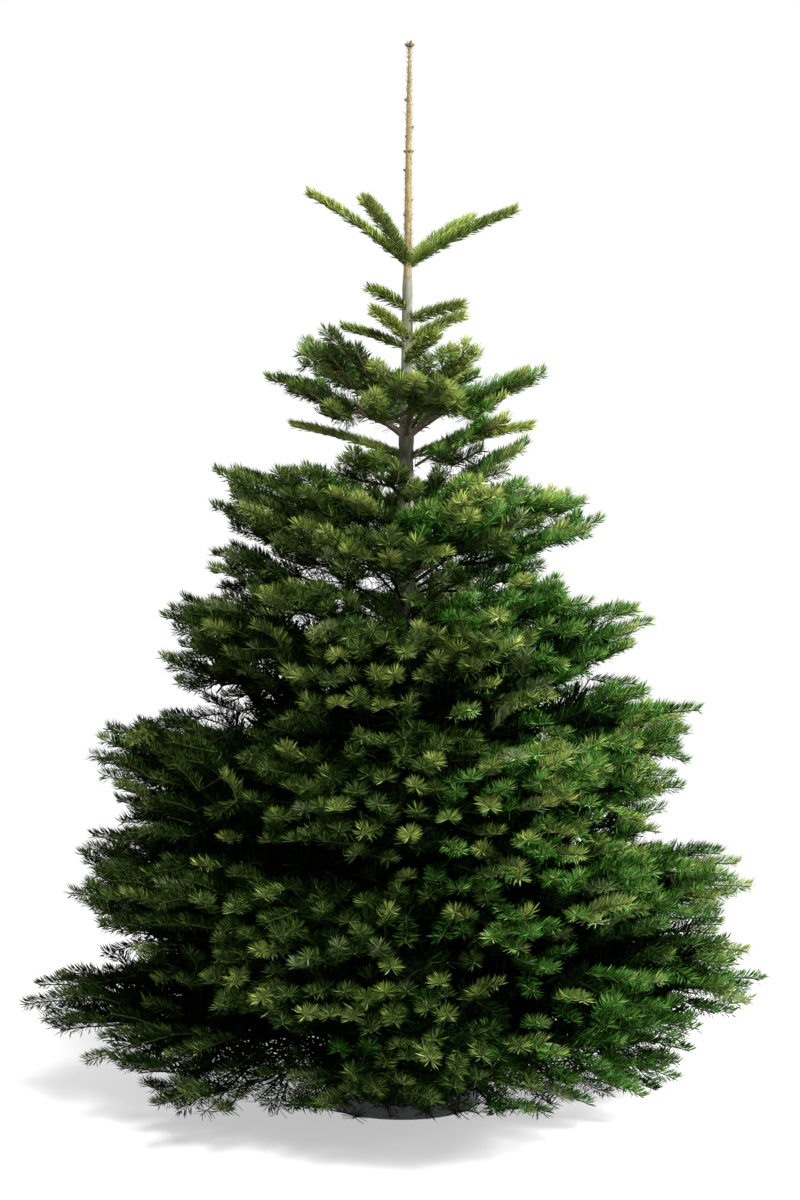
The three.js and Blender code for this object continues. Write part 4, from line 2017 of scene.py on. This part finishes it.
@dataclass
class Studio:
    """The floor, the light and the camera."""

    distance: float = 5.0  # of the camera
    eye: float = 1.30
    aim: float = 0.961  # the height that it looks at
    aside: float = -0.004
    lens: float = 79.5
    lamps: tuple[Lamp, ...] = (
        Lamp("key", (0.3, -4.2, 4.2), 1.4, 560.0),
        Lamp("left", (-3.4, -2.4, 3.0), 1.6, 20.0),
        Lamp("right", (3.8, -1.0, 2.6), 1.6, 560.0),
        Lamp("back", (-1.8, 4.4, 3.6), 1.6, 90.0),
    )
    lamp_aim: tuple[float, float, float] = (0.0, 0.0, 0.9)
    ambient: float = 0.30  # the strength of the white surroundings as a light
    floor_tone: Colour = (0.86, 0.86, 0.85)
    floor_roughness: float = 0.7
    floor_radius: float = 14.0
    bright_span: Span = (0.5, 3.0)  # distances over which it runs out into the white
    bright_share: float = 0.50  # how much of it glows white at the tree: painted light that pales the tree's shadow

    def camera(self) -> None:
        """Sets the camera up at eye height, in front of the tree."""
        data = bpy.data.cameras.new("view")
        data.lens = self.lens
        data.sensor_width = 36.0
        data.clip_end = 60.0
        camera = bpy.data.objects.new("view", data)
        camera.location = (self.aside, -self.distance, self.eye)
        down = math.atan2(self.eye - self.aim, self.distance)
        camera.rotation_euler = (math.pi / 2 - down, 0.0, 0.0)
        bpy.context.scene.collection.objects.link(camera)
        bpy.context.scene.camera = camera

    def lights(self) -> None:
        """Hangs the large soft lights and the white surroundings."""
        for lamp in self.lamps:
            lamp.hang(Vector(self.lamp_aim))
        world = bpy.data.worlds.new("white")
        world.use_nodes = True
        graph = NodeGraph(world.node_tree)
        background = world.node_tree.nodes["Background"]
        seen = graph.add("LightPath").outputs["Is Camera Ray"]
        graph.feed(background, "Color", (*WHITE, 1.0))
        graph.feed(background, "Strength", graph.remap(seen, (0.0, 1.0), (self.ambient, 1.0)))
        bpy.context.scene.world = world
        bpy.context.scene.view_settings.view_transform = "Standard"

    def floor(self) -> None:
        """Lays the pale floor, which runs out into the white of the surroundings, and glows half white even
        at the tree: painted light that pales the tree's shadow.
        """
        bpy.ops.object.select_all(action="DESELECT")
        bpy.ops.mesh.primitive_circle_add(
            vertices=96, radius=self.floor_radius, fill_type="NGON", location=(0.0, 0.0, 0.0)
        )
        floor = bpy.context.object
        floor.name = floor.data.name = "studio_floor"
        material, graph, shader = new_material("pale_floor", self.floor_tone)
        graph.feed(shader, "Roughness", self.floor_roughness)
        away = graph.add("VectorMath", {0: graph.place()}, operation="LENGTH").outputs["Value"]
        # painted light: the floor glows, half at the tree and fully far out
        white = graph.remap(away, self.bright_span, (self.bright_share, 1.0), "SMOOTHSTEP")
        glow = graph.add("Emission", {"Color": (*WHITE, 1.0), "Strength": 1.0})
        mix = graph.add("MixShader", {0: white, 1: shader.outputs[0], 2: glow.outputs[0]})
        graph.feed(material.node_tree.nodes["Material Output"], "Surface", mix.outputs[0])
        floor.data.materials.append(material)


# ---- The tree ----


def keep(piece: bpy.types.Object) -> None:
    """Lets a finished piece ride on the tree, and logs its faces.

    Args:
        piece: The object.
    """
    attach(piece, BODY)
    log.info("%s: %d faces", piece.name, len(piece.data.polygons))


@dataclass(frozen=True)
class Filling:
    """Lesser boughs that no whorl has: short ones over the stand, or some that fill the middle."""

    count: int
    feet: Span  # the heights where they leave the trunk
    shares: Span
    lift: Span  # how much higher their tips are than usual, and how much that differs
    zone: int
    years: int = 4


SKIRT = Filling(14, (LOWEST_FOOT, LOWEST_FOOT + 0.03), (0.40, 0.64), (-0.10, 0.02), len(WHORLS) - 1)
SKIRT_HANG = -0.02
MIDDLE = Filling(11, (1.12, 0.80), (0.55, 0.85), (0, 0.02), 1)
MIDDLE_FAN = (math.radians(34.0), 0.05, 1.1)
MIDDLE_INSET = (0.04, 0.10)
class Crown:
    """Everything that grows on the boughs: twigs, buds and needles."""

    between_sway = 0.12  # how much the bearings of the boughs between the main ones differ
    between_shares = (0.78, 1.0)
    between_heights = (-0.02, 0.015)  # how far below and above the main ones they leave the trunk
    between_spread = 0.022  # how much the heights of their tips differ
    between_inset = (0.0, 0.04)  # how far inside the outline they end
    below_shares = (0.90, 1.06)  # the same for the boughs below the whorl
    below_spread = 0.035
    below_inset = (0.0, 0.09)
    below_from = (0.7, 0.4)  # how far under the whorl the first and the last are, in their spacings
    notch = 0.22  # how much shorter every other run of them is
    shoot_foot = (0.004, 0.006)  # the part of a young mass that is its foot, and how far it drops
    shoot_overhang = 0.8  # of its needles past its tip, as a share of the usual
    shoot_rise = 1.3  # how much more than straight to its end a young shoot starts upwards
    tint_spread = 0.2
    wood_skin = 0.12  # how deep the twigs have tubes of more sides
    bud_skin = 0.11  # how deep shoots have a bud
    side_bud_skin = 0.05  # how deep they have two more beside it
    bud_sizes = (0.0045, 0.0032)
    bud_sway = 0.1
    side_bud_turn = 0.8

    def __init__(self, form: CrownForm, seed: int) -> None:
        """Grows the crown.

        Args:
            form: The crown's form.
            seed: The seed of the branching rule.
        """
        self.form = form
        self.seed = seed
        self.growth = Growth(form, seed)
        self.young = sorted(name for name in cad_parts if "_shoot_" in name)
        self.turn = self.growth.rng.uniform(0.0, 2 * math.pi)
        for zone, plan in enumerate(WHORLS):
            self._whorl(zone, plan)
        self._fillings()
        for name in self.young:
            self._young_shoot(name)
        for height, end in EXTRA_SHOOTS:
            self._straight_shoot(form.trunk.centre(height), np.array(end))
        self.growth.reach()
        self.twigs = self.growth.finish()

    def _whorl(self, zone: int, plan: WhorlPlan) -> None:
        """Grows the main boughs of a whorl, those between them and those below.

        Args:
            zone: The whorl's number.
            plan: How it grows.
        """
        rng, form = self.growth.rng, self.form
        mains = [guide for guide in form.mains if guide.zone == zone]
        for guide in mains:
            self.growth.bough(guide, *plan.fan)
        first = math.atan2(mains[0].tip[1], mains[0].tip[0])
        top = mains[0].foot[2]
        for i in range(plan.between):
            bearing = first + 2 * math.pi * (i + 0.5) / plan.between + rng.normal(0, self.between_sway)
            share = rng.uniform(*self.between_shares)
            height = top + rng.uniform(*self.between_heights)
            lift = plan.rise + rng.normal(0, self.between_spread)
            guide = form.lesser(height, bearing, share, plan.years, zone, lift)
            self.growth.bough(guide, *plan.fan, rng.uniform(*self.between_inset))
        low = form.feet[-2 - zone] if zone + 1 < len(WHORLS) else LOWEST_FOOT
        start, rest = self.below_from
        for i in range(plan.below):
            self.turn += GOLDEN_TURN
            height = top + (low - top) * (i + start + plan.gap) / (plan.below + rest + plan.gap)
            notch = 1 - self.notch * math.sin(2 * math.pi * i / plan.below + self.turn / 2) ** 2
            share = plan.share * rng.uniform(*self.below_shares) * notch
            lift = rng.normal(0, self.below_spread) - plan.sag
            guide = form.lesser(height, self.turn, share, plan.years, zone, lift)
            self.growth.bough(guide, *plan.fan, rng.uniform(*self.below_inset))

    def _fillings(self) -> None:
        """Grows the short boughs over the stand, then those that fill the middle."""
        rng = self.growth.rng
        for _ in range(SKIRT.count):
            guide = self._filler(SKIRT, rng.uniform(*SKIRT.feet))
            self.growth.bough(guide, *WHORLS[-1].fan, hang=SKIRT_HANG)
        for height in np.linspace(*MIDDLE.feet, MIDDLE.count):
            guide = self._filler(MIDDLE, height)
            self.growth.bough(guide, *MIDDLE_FAN, rng.uniform(*MIDDLE_INSET))

    def _filler(self, filling: Filling, height: float) -> Guide:
        """Draws the line of the next bough of a filling.

        Args:
            filling: The filling.
            height: Where it leaves the trunk.

        Returns:
            The line.
        """
        rng = self.growth.rng
        self.turn += GOLDEN_TURN
        share = rng.uniform(*filling.shares)
        lift = rng.normal(*filling.lift)
        return self.form.lesser(height, self.turn, share, filling.years, filling.zone, lift)

    def _young_shoot(self, name: str) -> None:
        """Grows a shoot that is a mass of its own in the frame.

        Args:
            name: The mass's name.
        """
        points = cad_points(name)
        trunk = self.form.trunk
        out = np.hypot(points[:, 0] - trunk.centre(points[:, 2].mean())[0], points[:, 1])
        tip = points[np.argmax(out)]
        near = points[out < out.min() + self.shoot_foot[0]].mean(axis=0)
        foot = trunk.centre(near[2] - self.shoot_foot[1])
        self._straight_shoot(foot, tip - unit(tip - foot) * NEEDLE_OVERHANG * self.shoot_overhang)

    def _straight_shoot(self, foot: Vec, end: Vec) -> None:
        """Grows a young shoot without side twigs.

        Args:
            foot: Where it leaves the middle of the trunk.
            end: Its end.
        """
        span = end - foot
        rise = unit(span * (1.0, 1.0, self.shoot_rise))
        length = float(np.linalg.norm(span))
        normal = unit(np.cross(np.cross(span, UP), span))
        tint = YOUNG_TINT + self.growth.rng.normal(0, self.tint_spread)
        spray = Spray(normal, 0, tint, 0.0, YOUNG_THICK)
        root = self.growth.node(foot, -1, spray)
        self.growth.node(end, root, spray, foot + rise * length * 0.5)

    def build(self, greens: Finishes, tones: Finishes, bud: bpy.types.Material) -> None:
        """Makes the pieces of needles, twigs and buds.

        Args:
            greens: The greens, by Hue.
            tones: The tones of twigs, by TwigAge.
            bud: The finish of buds.
        """
        twigs = self.twigs
        maker = NeedleMaker()
        counts, outside = maker.counts(twigs)
        fine = outside & (twigs.age == 0)
        near = twigs.depth < self.wood_skin
        right = (twigs.p0 + twigs.p2)[:, 0] > 0
        log.info("%d stretches, %.0f m, %d needles", len(counts), twigs.length.sum(), counts.sum())
        for zone, plan in enumerate(WHORLS):
            here = twigs.zone == zone
            masses = [f"mass_{plan.name}_{i + 1}" for i in range(MAIN_BOUGHS)]
            masses += self.young if zone == 0 else []
            halves = {"": here} if zone < OPEN_ZONES else {"_left": here & ~right, "_right": here & right}
            for label, half in halves.items():
                parts = [
                    maker.shapes(twigs.pick(half & mask), counts[half & mask], blade)
                    for mask, blade in ((fine, FINE_BLADE), (~fine, PLAIN_BLADE))
                ]
                needles = array_mesh(f"needles_{plan.name}{label}", parts, greens, False)
                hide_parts(*masses)
                keep(needles)
            rounder = OUTER_TWIGS.shapes(twigs.pick(here & near))
            plainer = INNER_TWIGS.shapes(twigs.pick(here & ~near))
            wood = array_mesh(f"twigs_{plan.name}", [rounder, plainer], tones, True)
            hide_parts(*masses)
            keep(wood)
        keep(array_mesh("buds", [self._buds()], [bud], True))

    def _buds(self) -> Shapes:
        """Makes the buds at the ends of the shoots.

        Returns:
            The buds.
        """
        rng = np.random.default_rng(self.seed + BUD_SEED)
        tips = self.twigs.pick((self.twigs.age == 0) & (self.twigs.depth < self.bud_skin))
        point, heading, _, across = tips.at(np.ones(len(tips.length)))
        outer = tips.depth < self.side_bud_skin
        places = np.concatenate([point, point[outer], point[outer]])
        sides = (unit(heading[outer] + side * self.side_bud_turn * across[outer]) for side in (-1, 1))
        ways = np.concatenate([heading, *sides]) + rng.normal(0, self.bud_sway, places.shape)
        sizes = np.repeat(self.bud_sizes, (len(point), 2 * outer.sum()))
        return BudMaker().shapes(places, unit(ways), sizes)


def main() -> None:
    """Builds the tree, its stand and the studio, in order."""
    logging.basicConfig(level=logging.INFO, format="%(message)s")
    effects = SharedEffects()
    greens = [
        # the shaded hues are painted shade and get no sheen
        PlainFinish(f"needle_{hue.name.lower()}", tone, 0.45, 0.0 if hue in SHADED_HUES else 0.10).build()
        for hue, tone in NEEDLE_COLOURS.items()
    ]
    tones = [
        PlainFinish(f"twig_{age.name.lower()}", tone, 0.8, 0.05).build()
        for age, tone in TWIG_COLOURS.items()
    ]
    bud = PlainFinish("bud_scale", (0.070, 0.040, 0.013), 0.6).build()
    trunk_bark = TrunkBarkFinish(
        "trunk_bark", (0.090, 0.088, 0.058), (0.150, 0.152, 0.112), (0.062, 0.054, 0.034), 80.0, 0.0010
    ).build(effects)
    bough_bark = BarkFinish(
        "bough_bark", (0.120, 0.080, 0.045), (0.205, 0.155, 0.098), (0.050, 0.030, 0.016), 95.0, 0.0008
    ).build(effects)
    paint = PaintFinish("stand_paint", (0.035, 0.037, 0.040), 0.0, (0.34, 0.5), 700.0, 0.35).build(effects)
    plating = PaintFinish("zinc_plating", (0.42, 0.43, 0.44), 1.0, (0.28, 0.5), 500.0, 0.25).build(effects)

    line = TrunkLine()
    form = CrownForm(line)
    keep(TrunkWood(line).build(trunk_bark))
    for zone, plan in enumerate(WHORLS):
        guides = [g for g in form.mains if g.zone == zone]
        keep(BoughWood(plan.name, guides, line).build(bough_bark))
    keep(StandBase().build(paint))
    keep(StandClamp().build(plating, line))

    Crown(form, SEED).build(greens, tones, bud)
    leader = Leader(line)
    dry = [
        PlainFinish("dry_needle", (0.21, 0.165, 0.065), 0.7).build(),
        PlainFinish("dry_needle_dark", (0.12, 0.088, 0.034), 0.7).build(),
    ]
    keep(array_mesh("leader_needles", [leader.dried(SEED)], dry, False))
    keep(array_mesh("leader_buds", [leader.buds(SEED)], [bud], True))

    studio = Studio()
    studio.floor()
    studio.lights()
    studio.camera()


if __name__ == "__main__":
    main()
